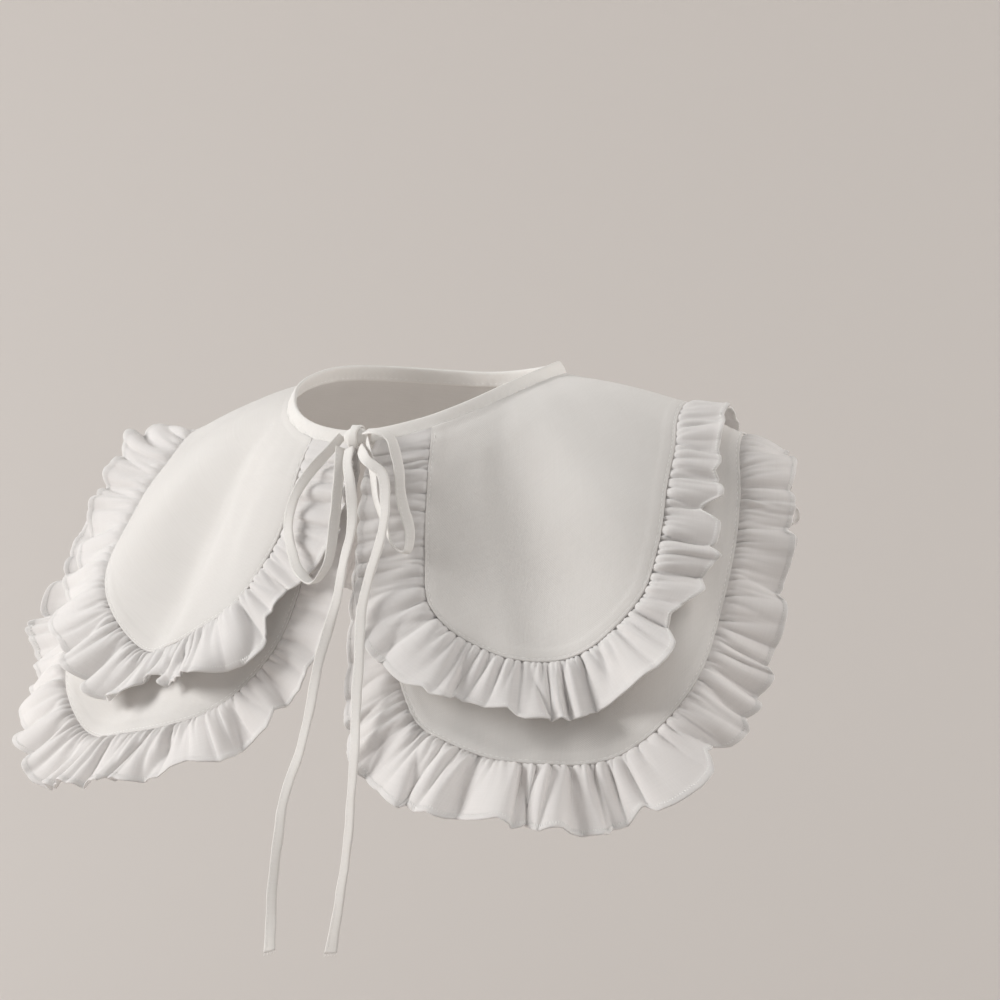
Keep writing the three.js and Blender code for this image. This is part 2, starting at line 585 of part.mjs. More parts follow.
// A folded strap along a row of points, with bare flat ends.
function strap(rows, steps, name) {
  const chord = [0];
  for (let i = 1; i < rows.length; i++) {
    const [a, b] = [rows[i - 1], rows[i]];
    chord.push(chord[i - 1] + Math.hypot(a.x - b.x, a.y - b.y, a.z - b.z));
  }
  const total = chord[chord.length - 1];
  const column = (key) => spline(chord, rows.map((row) => row[key]));
  const [x, y, z, turn] = ['x', 'y', 'z', 'turn'].map(column);
  const at = (c) => bowPoint(x(c), y(c), z(c));
  const w = STRAP_WIDTH / 2;
  const t = STRAP_THICKNESS / 2;
  const section = [[-w, 0], [-w + 0.8, t], [w - 0.8, t], [w, 0], [w - 0.8, -t], [-w + 0.8, -t]];
  const rings = [];
  for (let k = 0; k <= steps; k++) {
    const c = (total * k) / steps;
    const tangent = at(Math.min(total, c + 0.5)).sub(at(Math.max(0, c - 0.5))).normalize();
    const front = new THREE.Vector3(0, -1, 0);
    front.addScaledVector(tangent, -front.dot(tangent)).normalize();
    const side = tangent.clone().cross(front);
    const angle = rad(turn(c));
    const wide = side.clone().multiplyScalar(Math.cos(angle)).addScaledVector(front, Math.sin(angle));
    const thick = tangent.clone().cross(wide);
    rings.push(section.map(([u, v]) => at(c).addScaledVector(wide, u).addScaledVector(thick, v)));
  }
  return loft(rings, name);
}

// The knot: a small rounded lump with the creases of the strap wound round it.
function knot() {
  const rings = 9;
  const around = 16;
  const positions = [];
  const point = (lat, lon) => {
    const crease = 1 + 0.06 * Math.cos(3 * lon + 2 * lat) * Math.cos(lat);
    return bowPoint(
      KNOT.x + (KNOT.width / 2) * Math.sin(lat),
      KNOT.y + (KNOT.depth / 2) * crease * Math.cos(lat) * Math.sin(lon),
      KNOT.z + (KNOT.height / 2) * crease * Math.cos(lat) * Math.cos(lon),
    ).toArray();
  };
  positions.push(...point(-Math.PI / 2, 0));
  for (let i = 1; i < rings; i++) {
    for (let j = 0; j < around; j++) {
      positions.push(...point(Math.PI * (i / rings - 0.5), (2 * Math.PI * j) / around));
    }
  }
  positions.push(...point(Math.PI / 2, 0));
  const index = [];
  const id = (i, j) => 1 + (i - 1) * around + (j % around);
  const end = 1 + (rings - 1) * around;
  for (let j = 0; j < around; j++) {
    index.push(0, id(1, j + 1), id(1, j));
    for (let i = 1; i < rings - 1; i++) {
      index.push(id(i, j), id(i, j + 1), id(i + 1, j + 1), id(i, j), id(i + 1, j + 1), id(i + 1, j));
    }
    index.push(end, id(rings - 1, j), id(rings - 1, j + 1));
  }
  return solid(positions, index, 'bow_knot');
}

const collar = new THREE.Group();
collar.name = 'peter_pan_collar';
collar.add(
  neckband(),
  leaf(LOWER_SEAM, false, 'lower_leaf'),
  ruffle(LOWER_SEAM, false, FOLD_WAVE_LOWER, 'lower_ruffle'),
  leaf(UPPER_SEAM, true, 'upper_leaf'),
  ruffle(UPPER_SEAM, true, FOLD_WAVE_UPPER, 'upper_ruffle'),
  knot(),
  strap(LOOP_LEFT, LOOP_STEPS, 'bow_loop_left'),
  strap(LOOP_RIGHT, LOOP_STEPS, 'bow_loop_right'),
  strap(TAIL_LEFT, TAIL_STEPS, 'tie_tail_left'),
  strap(TAIL_RIGHT, TAIL_STEPS, 'tie_tail_right'),
);

export default collar;
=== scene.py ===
import math

import bpy
import numpy as np
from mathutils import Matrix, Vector
from mathutils.kdtree import KDTree


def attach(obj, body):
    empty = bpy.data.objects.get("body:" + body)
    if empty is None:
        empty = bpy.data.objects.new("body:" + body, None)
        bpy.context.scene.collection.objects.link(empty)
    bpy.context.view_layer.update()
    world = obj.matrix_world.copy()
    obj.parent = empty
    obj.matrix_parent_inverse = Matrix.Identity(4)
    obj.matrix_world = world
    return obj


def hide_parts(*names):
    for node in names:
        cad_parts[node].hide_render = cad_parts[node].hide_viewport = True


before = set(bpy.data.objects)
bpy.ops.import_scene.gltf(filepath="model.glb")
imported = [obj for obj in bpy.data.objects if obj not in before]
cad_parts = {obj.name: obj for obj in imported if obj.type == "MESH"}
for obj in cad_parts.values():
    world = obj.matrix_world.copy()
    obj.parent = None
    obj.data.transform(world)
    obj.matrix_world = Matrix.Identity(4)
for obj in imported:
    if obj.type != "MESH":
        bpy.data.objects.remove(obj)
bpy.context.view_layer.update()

MM = 0.001

CAMERA_TARGET, LAMP_TARGET = (0.0322, 0.0194, -0.0618), (0.02, 0, -0.08)


def placed(name, data):
    ob = bpy.data.objects.new(name, data)
    bpy.context.scene.collection.objects.link(ob)
    return ob


def aimed(name, data, azimuth, elevation, target, distance):
    """An object that faces a target from a distance and two angles, in radians."""
    level = math.cos(elevation)
    d = (math.sin(azimuth) * level, -math.cos(azimuth) * level, math.sin(elevation))
    ob = placed(name, data)
    ob.location = Vector(target) + Vector(d) * distance
    ob.rotation_mode = "QUATERNION"
    ob.rotation_quaternion = (-Vector(d)).to_track_quat("-Z", "Y")
    return ob


# Camera at the photograph's viewing angle.
turn, tilt = math.radians(31), math.radians(0.5)
camera = aimed("camera", bpy.data.cameras.new("camera"), turn, tilt, CAMERA_TARGET, 1.6)
camera.data.sensor_width = 36
camera.data.lens = 111.8
camera.data.clip_start, camera.data.clip_end = 0.05, 60
bpy.context.scene.camera = camera


def ease(v):
    t = np.clip(v, 0, 1)
    return t * t * (3 - 2 * t)


def unit(v):
    return v / np.maximum(np.linalg.norm(v, axis=-1, keepdims=True), 1e-12)


def dot(a, b):
    return (a * b).sum(-1)


def spline(xs, ys):
    """Smooth curve through the values ys at the places xs."""
    xs, ys = np.array(xs, float), np.array(ys, float)
    n = len(xs)
    h, d = np.diff(xs), np.diff(ys) / np.diff(xs)
    tan = np.concatenate([[d[0]], (d[:-1] * h[1:] + d[1:] * h[:-1]) / (h[:-1] + h[1:]), [d[-1]]])

    def at(x):
        x = np.asarray(x, float)
        i = np.clip(np.searchsorted(xs, x, side="left") - 1, 0, n - 2)
        w = xs[i + 1] - xs[i]
        t = np.clip((x - xs[i]) / w, 0, 1)
        a = t * t * (3 - 2 * t)
        b = t * (1 - t) ** 2 * w
        c = -t * t * (1 - t) * w
        return ys[i] * (1 - a) + ys[i + 1] * a + tan[i] * b + tan[i + 1] * c

    return at


def bell(x, middle, width):
    return np.exp(-(((x - middle) / width) ** 2))


def waves(x, *terms):
    """A sum of sine waves over x. Each term is a size, a length (of one radian) and a phase."""
    return sum(size * np.sin(x / length + phase) for size, length, phase in terms)


def rounded(t):
    """A quarter circle: from 0 at t = 0 up to 1 at t = 1."""
    return np.sqrt(np.clip(1 - (1 - np.clip(t, 0, 1)) ** 2, 0, 1))


def path_lengths(points):
    """The length along a row of points, at each of them."""
    return np.concatenate([[0], np.cumsum(np.linalg.norm(np.diff(points, axis=0), axis=1))])


def read_at(x, places, vectors):
    """Vectors that are known at the given places, read at x."""
    return np.stack([np.interp(x, places, vectors[:, k]) for k in range(3)], -1)


def flat_section(count, side_power, face_power):
    """Points round a flattened section: how far across and how far through, from -1 to 1."""
    a = np.arange(count) * 2 * math.pi / count
    across, through = np.cos(a), np.sin(a)
    return (
        np.sign(across) * np.abs(across) ** side_power,
        np.sign(through) * np.abs(through) ** face_power,
    )


def tree_of(points):
    tree = KDTree(len(points))
    for k, p in enumerate(points):
        tree.insert(p, k)
    tree.balance()
    return tree


# Meshes.


def mesh_object(name, verts_mm, faces, uv_mm, material):
    """An object from points and faces (an array of quads, or a list).

    uv_mm has a place on the cloth for each point. All lengths are in millimetres.
    """
    me = bpy.data.meshes.new(name)
    verts = np.asarray(verts_mm, float) * MM
    if isinstance(faces, np.ndarray):
        starts = np.arange(0, faces.size, faces.shape[1], dtype=np.int32)
        me.vertices.add(len(verts))
        me.vertices.foreach_set("co", verts.astype(np.float32).ravel())
        me.loops.add(faces.size)
        me.loops.foreach_set("vertex_index", faces.astype(np.int32).ravel())
        me.polygons.add(len(faces))
        me.polygons.foreach_set("loop_start", starts)
        me.update(calc_edges=True)
    else:
        me.from_pydata(verts.tolist(), [], faces)
        me.update()
    me.validate()
    me.polygons.foreach_set("use_smooth", np.ones(len(me.polygons), bool))
    index = np.zeros(len(me.loops), np.int32)
    me.loops.foreach_get("vertex_index", index)
    layer = me.uv_layers.new(name="cloth")
    layer.data.foreach_set("uv", np.asarray(uv_mm, np.float32)[index].ravel())
    me.materials.append(material)
    return placed(name, me)


def shell(name, outer, inner, uv, material):
    """Closed cloth from two grids of points that meet along their borders."""
    rows, cols = outer.shape[:2]
    top = np.arange(rows * cols).reshape(rows, cols)
    low = top.copy()
    inside = np.arange((rows - 2) * (cols - 2)).reshape(rows - 2, cols - 2)
    low[1:-1, 1:-1] = rows * cols + inside
    quads = []
    for g, flip in ((top, False), (low, True)):
        q = quads_of(g[:-1, :-1], g[1:, :-1], g[1:, 1:], g[:-1, 1:])
        quads.append(q[:, ::-1] if flip else q)
    verts = np.concatenate([outer.reshape(-1, 3), inner[1:-1, 1:-1].reshape(-1, 3)])
    uvs = np.concatenate([uv.reshape(-1, 2), uv[1:-1, 1:-1].reshape(-1, 2)])
    return mesh_object(name, verts, np.concatenate(quads), uvs, material)


def quads_of(*corners):
    return np.stack(corners, -1).reshape(-1, 4)


def tube_faces(rings, count, flip=False):
    """Quads of a tube and a cap at each end. flip turns them all round."""
    ids = np.arange(rings * count).reshape(rings, count)
    after = np.roll(ids, -1, 1)
    if flip:
        quads, caps = [ids[:-1], ids[1:], after[1:], after[:-1]], [ids[0], ids[-1, ::-1]]
    else:
        quads, caps = [ids[:-1], after[:-1], after[1:], ids[1:]], [ids[0, ::-1], ids[-1]]
    return quads_of(*quads).tolist() + [cap.tolist() for cap in caps]


def grid_normal(p):
    return unit(np.cross(np.gradient(p, axis=0), np.gradient(p, axis=1)))


def threads(name, starts, ends, ups, radius, sides=4):
    """Short straight threads from starts to ends, with tapered tips."""
    taper, roll, uv_step = 0.14, 0.6, 0.37
    n = len(starts)
    along = unit(ends - starts)
    across = unit(np.cross(along, ups))
    up = np.cross(across, along)
    angle = (np.arange(sides) * 2 * math.pi / sides + roll)[None, :, None]
    circle = np.cos(angle) * across[:, None] + np.sin(angle) * up[:, None]
    rings = [
        starts[:, None] + (ends - starts)[:, None] * share + circle * radius
        for share in (taper, 1 - taper)
    ]
    verts = np.concatenate([starts[:, None], rings[0], rings[1], ends[:, None]], axis=1)
    k = 2 + 2 * sides
    face = []
    for j in range(sides):
        i = (j + 1) % sides
        face += [[0, 1 + i, 1 + j, 1 + j], [1 + j, 1 + i, 1 + sides + i, 1 + sides + j]]
        face += [[1 + sides + j, 1 + sides + i, k - 1, k - 1]]
    quads = (np.arange(n)[:, None, None] * k + np.array(face)[None]).reshape(-1, 4)
    tri = quads[:, 2] == quads[:, 3]
    faces = [q[:3].tolist() if t else q.tolist() for q, t in zip(quads, tri)]
    uv = np.zeros((n * k, 2))
    uv[:, 0] = np.arange(n * k) * uv_step
    return mesh_object(name, verts.reshape(-1, 3), faces, uv, thread_cotton)


def stitch_line(name, stitch_end, s, length, radius):
    """Stitches on both faces of a binding, from each place in s.

    stitch_end gives a point on the face 1 or -1 and the way up from it.
    """
    sides = [(*stitch_end(s, face), stitch_end(s + length, face)[0]) for face in (1, -1)]
    starts, ups, ends = (np.concatenate(x) for x in zip(*sides))
    return threads(name, starts, ends, ups, radius)


# Materials.


def node(tree, kind, **values):
    made = tree.nodes.new(kind)
    for key, value in values.items():
        if key.startswith("in_"):
            made.inputs[key[3:].replace("_", " ")].default_value = value
        else:
            setattr(made, key, value)
    return made


def cotton(name, light, dark, thread_mm, slub, sheen=0.25, rough=0.86, through=0.0):
    """Matt plain-weave cotton: weave and slubs follow the cloth, tone drifts softly over it.

    through is the share of the light that a single ply lets through.
    """
    mat = bpy.data.materials.new(name)
    mat.use_nodes = True
    t = mat.node_tree
    t.nodes.clear()
    out = node(t, "ShaderNodeOutputMaterial")
    bsdf = node(
        t, "ShaderNodeBsdfPrincipled", in_Roughness=rough, in_Specular_IOR_Level=0.25,
        in_Sheen_Weight=sheen, in_Sheen_Roughness=0.45, in_Subsurface_Weight=0.1,
        in_Subsurface_Radius=(1.0, 0.94, 0.88), in_Subsurface_Scale=0.0012,
    )
    link = t.links.new
    glow = node(t, "ShaderNodeBsdfTranslucent")
    both_sides = node(t, "ShaderNodeMixShader")
    both_sides.inputs[0].default_value = through
    link(bsdf.outputs[0], both_sides.inputs[1])
    link(glow.outputs[0], both_sides.inputs[2])
    link(both_sides.outputs[0], out.inputs[0])
    uv = node(t, "ShaderNodeUVMap", uv_map="cloth")
    split = node(t, "ShaderNodeSeparateXYZ")
    link(uv.outputs[0], split.inputs[0])

    def math_node(op, a, b=None):
        m = node(t, "ShaderNodeMath", operation=op)
        for k, v in enumerate((a, b)):
            if v is None:
                continue
            if isinstance(v, (int, float)):
                m.inputs[k].default_value = v
            else:
                link(v, m.inputs[k])
        return m.outputs[0]

    # threads: one goes over and under the next
    su = math_node("SINE", math_node("MULTIPLY", split.outputs[0], math.pi / thread_mm))
    sv = math_node("SINE", math_node("MULTIPLY", split.outputs[1], math.pi / thread_mm))
    weave = math_node("MULTIPLY", su, sv)
    # slubs: long thin streaks both ways
    streaks = []
    for stretch in ((0.045, 1.25, 0), (1.25, 0.045, 0)):
        scale = node(t, "ShaderNodeMapping", in_Scale=stretch)
        link(uv.outputs[0], scale.inputs[0])
        noise = node(t, "ShaderNodeTexNoise", in_Scale=1.0, in_Detail=3.0, in_Roughness=0.65)
        link(scale.outputs[0], noise.inputs["Vector"])
        streaks.append(noise.outputs[0])
    both = math_node("ADD", streaks[0], streaks[1])
    # soft drift of tone
    place = node(t, "ShaderNodeTexCoord")
    drift = node(t, "ShaderNodeTexNoise", in_Scale=16.0, in_Detail=2.0)
    link(place.outputs["Object"], drift.inputs["Vector"])
    uneven = math_node("MULTIPLY", math_node("SUBTRACT", both, 1.0), slub)
    mixed = math_node("ADD", uneven, drift.outputs[0])
    mixed = math_node("ADD", mixed, math_node("MULTIPLY", weave, 0.05))
    ramp = node(t, "ShaderNodeValToRGB")
    for stop, position, colour in zip(ramp.color_ramp.elements, (0.25, 0.75), (dark, light)):
        stop.position, stop.color = position, (*colour, 1)
    link(mixed, ramp.inputs[0])
    link(ramp.outputs[0], bsdf.inputs["Base Color"])
    link(ramp.outputs[0], glow.inputs["Color"])
    height = math_node("ADD", math_node("MULTIPLY", weave, 0.35), math_node("MULTIPLY", both, 0.8))
    bump = node(t, "ShaderNodeBump", in_Strength=0.55, in_Distance=0.00016)
    link(height, bump.inputs["Height"])
    link(bump.outputs[0], bsdf.inputs["Normal"])
    return mat


# The leaves and the ruffles are one white cotton, but the ruffles' colours are set lighter than the
# leaves': painted light on the ruffles, which catch more light, and painted shade on the leaves.
leaf_cotton = cotton("leaf_cotton", (0.785, 0.768, 0.747), (0.735, 0.715, 0.693), 0.42, 0.55)
ruffle_cotton = cotton(
    "ruffle_cotton", (0.94, 0.922, 0.912), (0.885, 0.865, 0.855), 0.42, 0.6, through=0.26
)
binding_cotton = cotton("binding_cotton", (0.86, 0.845, 0.82), (0.81, 0.79, 0.765), 0.36, 0.5)
thread_cotton = cotton(
    "sewing_thread", (0.97, 0.962, 0.945), (0.94, 0.93, 0.91), 0.2, 0.3, sheen=0.15, rough=0.7
)


# Straps of the bow: x, y, z in metres, and how far the flat side turns from the front.

TAIL_LEFT = [
    (0.0118, -0.0799, -0.0354, 0), (0.0155, -0.0840, -0.0375, 10), (0.0220, -0.0900, -0.0415, 20),
    (0.0310, -0.0910, -0.0480, 20), (0.0370, -0.0960, -0.0630, 5), (0.0380, -0.1000, -0.0760, 0),
    (0.0350, -0.1020, -0.0880, 0), (0.0315, -0.1045, -0.1030, 5), (0.0310, -0.1085, -0.1190, 10),
    (0.0340, -0.1150, -0.1390, 10), (0.0380, -0.1230, -0.1600, 5), (0.0420, -0.1310, -0.1830, 0),
    (0.0410, -0.1325, -0.2080, 0), (0.0360, -0.1320, -0.2430, -5), (0.0285, -0.1310, -0.2760, 5),
]
TAIL_RIGHT = [
    (0.0064, -0.0816, -0.0358, 0), (0.0100, -0.0886, -0.0435, 10), (0.0145, -0.0935, -0.0520, 20),
    (0.0185, -0.0970, -0.0660, 20), (0.0195, -0.1000, -0.0780, 5), (0.0170, -0.1020, -0.0890, -5),
    (0.0160, -0.1040, -0.1010, 0), (0.0145, -0.1070, -0.1150, 5), (0.0110, -0.1095, -0.1280, 10),
    (0.0090, -0.1130, -0.1410, 10), (0.0085, -0.1180, -0.1600, 0), (0.0035, -0.1210, -0.1830, 0),
    (-0.0020, -0.1240, -0.2020, 10), (-0.0055, -0.1270, -0.2300, 15), (-0.0070, -0.1310, -0.2780, 5),
]
LOOP_RIGHT = [
    (-0.0004, -0.0776, -0.0294, 62), (-0.0085, -0.0840, -0.0410, 40), (-0.0180, -0.0900, -0.0560, 18),
    (-0.0215, -0.0940, -0.0710, 2), (-0.0170, -0.0980, -0.0840, 5), (-0.0080, -0.1020, -0.0970, 40),
    (-0.0010, -0.1030, -0.1015, 80), (0.0055, -0.1020, -0.0950, 108), (0.0075, -0.0990, -0.0840, 124),
    (0.0070, -0.0950, -0.0700, 134), (0.0050, -0.0895, -0.0520, 136), (0.0036, -0.0856, -0.0420, 128),
    (0.0012, -0.0812, -0.0354, 115),
]
LOOP_LEFT = [
    (0.0142, -0.0784, -0.0276, 60), (0.0220, -0.0820, -0.0275, 65), (0.0300, -0.0820, -0.0305, 65),
    (0.0360, -0.0840, -0.0410, 55), (0.0420, -0.0890, -0.0620, 50), (0.0490, -0.0930, -0.0800, 60),
    (0.0485, -0.0950, -0.0860, 75), (0.0430, -0.0950, -0.0850, 70), (0.0350, -0.0935, -0.0720, 30),
    (0.0285, -0.0910, -0.0600, 20), (0.0235, -0.0870, -0.0460, 20), (0.0151, -0.0790, -0.0314, 40),
]

STRAP_WIDTH, CUT_END_WIDTH, STRAP_HALF_THICKNESS = 5.3, 6.3, 0.62
SEWN_AT = 0.58  # the line of stitches, as a share of the half width
CUT_SLANT = 0.35


def strap(name, rows, end_width, steps, seed):
    """Folded narrow binding along a row of points.

    Returns the piece, its stitches, its middle line in metres, and its points and directions.
    """
    t = np.array(rows, float)
    p = t[:, :3] / MM
    chord = path_lengths(p)
    total = chord[-1]
    *line, turned = [spline(chord, column) for column in (*p.T, t[:, 3])]
    c = np.linspace(0, total, steps + 1)

    def at(v):
        return np.stack([f(np.clip(v, 0, total)) for f in line], -1)

    centre = at(c)
    tangent = unit(at(c + 0.8) - at(c - 0.8))
    front = np.array([0.0, -1.0, 0.0])
    front = unit(front - dot(front, tangent)[:, None] * tangent)
    side = np.cross(tangent, front)
    angle = np.radians(turned(c) + waves(c, (5, 19, seed)))[:, None]
    wide = np.cos(angle) * side + np.sin(angle) * front
    thick = np.cross(tangent, wide)
    centre = centre + wide * waves(c, (0.18, 7.3, seed), (0.1, 3.1, 2 * seed))[:, None]
    u, v = flat_section(24, 0.55, 0.75)
    # the sewn edge: a groove in both faces beside the folded edges
    v = v * (1 - 0.42 * bell(u, SEWN_AT, 0.12)) * (1 - 0.12 * bell(u, 0, 0.4))
    near_end = ease((c - (total - 26)) / 24)
    half = (STRAP_WIDTH + (end_width - STRAP_WIDTH) * near_end) / 2
    half = half * (1 + waves(c, (0.035, 5.3, seed), (0.02, 2.1, 3 * seed)))
    thin = STRAP_HALF_THICKNESS * (1 + waves(c, (0.10, 3.7, seed))) * (1 - 0.25 * near_end)
    pucker = waves(c, (0.06, 0.48, 0))[:, None] * bell(u, SEWN_AT, 0.25)[None]
    ring = (
        centre[:, None]
        + (half[:, None] * u[None])[..., None] * wide[:, None]
        + (thin[:, None] * v[None] + pucker * np.sign(v)[None])[..., None] * thick[:, None]
    )
    if end_width != STRAP_WIDTH:
        # the cut end slants a little
        slant = (u[None] * half[-1] * CUT_SLANT) * ease((c - (total - 3)) / 3)[:, None]
        ring = ring + slant[..., None] * tangent[:, None]
    around = path_lengths(np.stack([u * STRAP_WIDTH / 2, v * STRAP_HALF_THICKNESS], -1))
    uv = np.stack(np.broadcast_arrays(c[:, None], around[None]), -1)
    faces = tube_faces(len(c), len(u))
    ob = mesh_object(name, ring.reshape(-1, 3), faces, uv.reshape(-1, 2), binding_cotton)

    def stitch_end(s, face):
        held = np.minimum(s, c[-2])
        q, across, up = (read_at(held, c, vectors) for vectors in (centre, wide, thick))
        h, w = (np.interp(s, c, size)[:, None] for size in (half, thin))
        return q + across * SEWN_AT * h + up * face * (0.55 * w + 0.05), up * face

    places = np.arange(1.5, total - 2.5, 2.4)
    stitches = stitch_line(name + "_stitches", stitch_end, places, 1.6, 0.14)
    return ob, stitches, (centre * MM).tolist(), (centre, wide, thick, tangent, half)


def frayed_end(name, centre, wide, thick, tangent, half):
    """A few loose threads at the cut end."""
    count = 9
    k = np.arange(count)
    where = (k / (count - 1) - 0.5) * 1.9 * half[-1]
    root = centre[-1] + wide[-1] * where[:, None]
    root = root + thick[-1] * (0.2 * np.sin(k * 2.3))[:, None]
    root = root + tangent[-1] * (where * CUT_SLANT - 0.4)[:, None]
    tip = root + tangent[-1] * (1.3 + 0.8 * np.abs(np.sin(k * 1.7)))[:, None]
    tip = tip + wide[-1] * (0.5 * np.sin(k * 3.1))[:, None]
    return threads(name, root, tip, np.repeat(thick[-1][None], count, 0), 0.09)


for k, (name, rows, node_name, length) in enumerate((
    ("tail_left", TAIL_LEFT, "tie_tail_left", 0.265),
    ("tail_right", TAIL_RIGHT, "tie_tail_right", 0.2545),
    ("loop_left", LOOP_LEFT, "bow_loop_left", None),
    ("loop_right", LOOP_RIGHT, "bow_loop_right", None),
)):
    end_width, steps = (CUT_END_WIDTH, 240) if length else (STRAP_WIDTH, 200)
    ob, stitches, line, shape = strap(name, rows, end_width, steps, k + 1.0)
    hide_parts(node_name)
    pieces_on = [stitches]
    if length:
        pieces_on.append(frayed_end(name + "_frayed_end", *shape))
    for piece in [ob, *pieces_on]:
        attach(piece, "root")


# The drape: radius and height at a distance from the neckline, in millimetres.

NECK_RADIUS, NECK_MEAN_Z, NECK_DIP, NECK_SADDLE = 71, -9.8, 16.5, 7.7
NECK_GAP = 1.5
SLOPE_DISTANCE = [0, 50, 100, 150, 200, 260]
SLOPES = [  # azimuth, then the slope in degrees at each distance
    (0, (74, 76, 75, 72, 68, 66)),
    (30, (69, 71, 66, 59, 54, 54)),
    (50, (62, 67, 64, 55, 47, 47)),
    (60, (51, 61, 62, 56, 50, 50)),
    (70, (26, 36, 48, 60, 64, 66)),
    (78, (15, 26, 44, 64, 70, 74)),
    (84, (11, 20, 36, 62, 74, 76)),
    (90, (8, 13, 25, 56, 72, 76)),
    (100, (15, 20, 31, 54, 68, 72)),
    (115, (25, 32, 42, 56, 64, 68)),
    (135, (34, 44, 52, 60, 62, 64)),
    (180, (46, 58, 63, 62, 60, 60)),
]
RIGHT_DROP, RIGHT_DROP_SPREAD, RIGHT_DROP_END = 9, 28, 120
AZ_STEP, RUN_STEP, FULL_RUN = 0.5, 1.0, 280


def neck_height(a):
    return NECK_MEAN_Z - NECK_DIP * np.cos(a) - NECK_SADDLE * np.cos(2 * a)


azimuths = np.arange(0, 360 + AZ_STEP / 2, AZ_STEP)
folded = np.where(azimuths > 180, 360 - azimuths, azimuths)
table_az = [row[0] for row in SLOPES]
slope_at = [
    spline(
        [-table_az[1], *table_az, 360 - table_az[-2]],
        [SLOPES[1][1][k], *[row[1][k] for row in SLOPES], SLOPES[-2][1][k]],
    )(folded)
    for k in range(len(SLOPE_DISTANCE))
]
middles = np.arange(0, FULL_RUN, RUN_STEP) + RUN_STEP / 2
radius_grid, height_grid = [], []
for n, azimuth in enumerate(azimuths):
    slope = spline(SLOPE_DISTANCE, [column[n] for column in slope_at])(middles)
    drop = RIGHT_DROP * bell(azimuth, 270, RIGHT_DROP_SPREAD)
    angle = np.radians(slope + drop * np.clip((RIGHT_DROP_END - middles) / 60, 0, 1))
    out, down = (np.concatenate([[0], np.cumsum(f(angle) * RUN_STEP)]) for f in (np.cos, np.sin))
    radius_grid.append(NECK_RADIUS + out)
    height_grid.append(neck_height(math.radians(azimuth)) - down)
radius_grid, height_grid = np.array(radius_grid), np.array(height_grid)


def drape(azimuth, distance):
    azimuth, distance = np.broadcast_arrays(np.asarray(azimuth, float), np.asarray(distance, float))
    turned = azimuth % 360
    i = np.minimum(len(azimuths) - 2, (turned / AZ_STEP).astype(int))
    k = np.clip(np.floor(distance / RUN_STEP).astype(int), 0, radius_grid.shape[1] - 2)
    u = turned / AZ_STEP - i
    v = distance / RUN_STEP - k

    def mix(g):
        here = g[i, k] * (1 - v) + g[i, k + 1] * v
        beside = g[i + 1, k] * (1 - v) + g[i + 1, k + 1] * v
        return here * (1 - u) + beside * u

    r = mix(radius_grid)
    a = np.radians(azimuth)
    return np.stack([r * np.sin(a), -r * np.cos(a), mix(height_grid)], -1)


def along(azimuth, distance):
    """How the drape runs by degree of azimuth and by distance, and its normal."""
    da, ds = 1.5, 3.0
    by_azimuth = (drape(azimuth + da, distance) - drape(azimuth - da, distance)) / (2 * da)
    low = np.maximum(0, distance - ds)
    run = drape(azimuth, distance + ds) - drape(azimuth, low)
    by_distance = run / (distance + ds - low)[..., None]
    return by_azimuth, by_distance, unit(np.cross(by_distance, by_azimuth))


def on_plan(azimuth, distance):
    """A place of the drape as x and y, with its distance from the neckline laid out flat."""
    a, r = np.radians(azimuth), NECK_RADIUS + distance
    return np.stack([r * np.sin(a), -r * np.cos(a)], -1)


def from_plan(x, y):
    return np.degrees(np.arctan2(x, -y)) % 360, np.maximum(NECK_GAP, np.hypot(x, y) - NECK_RADIUS)


# Outer seam of each layer, from the front edge on the wearer's left round the back to the front
# edge on the right: azimuth, distance from the neckline, ruffle's width, fold depth, flare.
UPPER_SEAM = [
    (34.5, 0, 29, 3, 0), (33, 30, 31, 4, 0), (32.5, 67, 32, 4, 1), (33.5, 93, 32, 6, 3),
    (37.5, 107, 31, 8, 4), (45, 123, 31, 9, 5), (52, 136, 31, 9, 5), (58.5, 143, 31, 9, 5),
    (64, 147, 29, 9, 4), (68.5, 143, 27, 9, 3), (72, 128, 25, 8, 3), (77.5, 105, 23, 7, 3),
    (82.5, 92, 22, 6, 3), (88, 81, 22, 6, 4), (100, 80, 23, 6, 4), (125, 86, 30, 8, 5),
    (155, 92, 31, 8, 5), (180, 94, 31, 8, 5), (205, 92, 31, 8, 5), (235, 86, 30, 8, 5),
    (258, 78, 30, 7, 14), (270, 80, 31, 8, 22), (275.5, 90, 31, 8, 22), (280, 106, 31, 9, 18),
    (284.5, 122, 31, 9, 13), (288.5, 135, 30, 9, 9), (292, 143, 30, 9, 7), (297.5, 147, 31, 9, 5),
    (307, 136, 32, 9, 5), (318.5, 115, 32, 9, 5), (329.5, 94, 33, 8, 4), (335.5, 71, 36, 6, 2),
    (340, 49, 36, 4, 0), (341, 28, 34, 4, 0), (339.5, 0, 31, 3, 0),
]
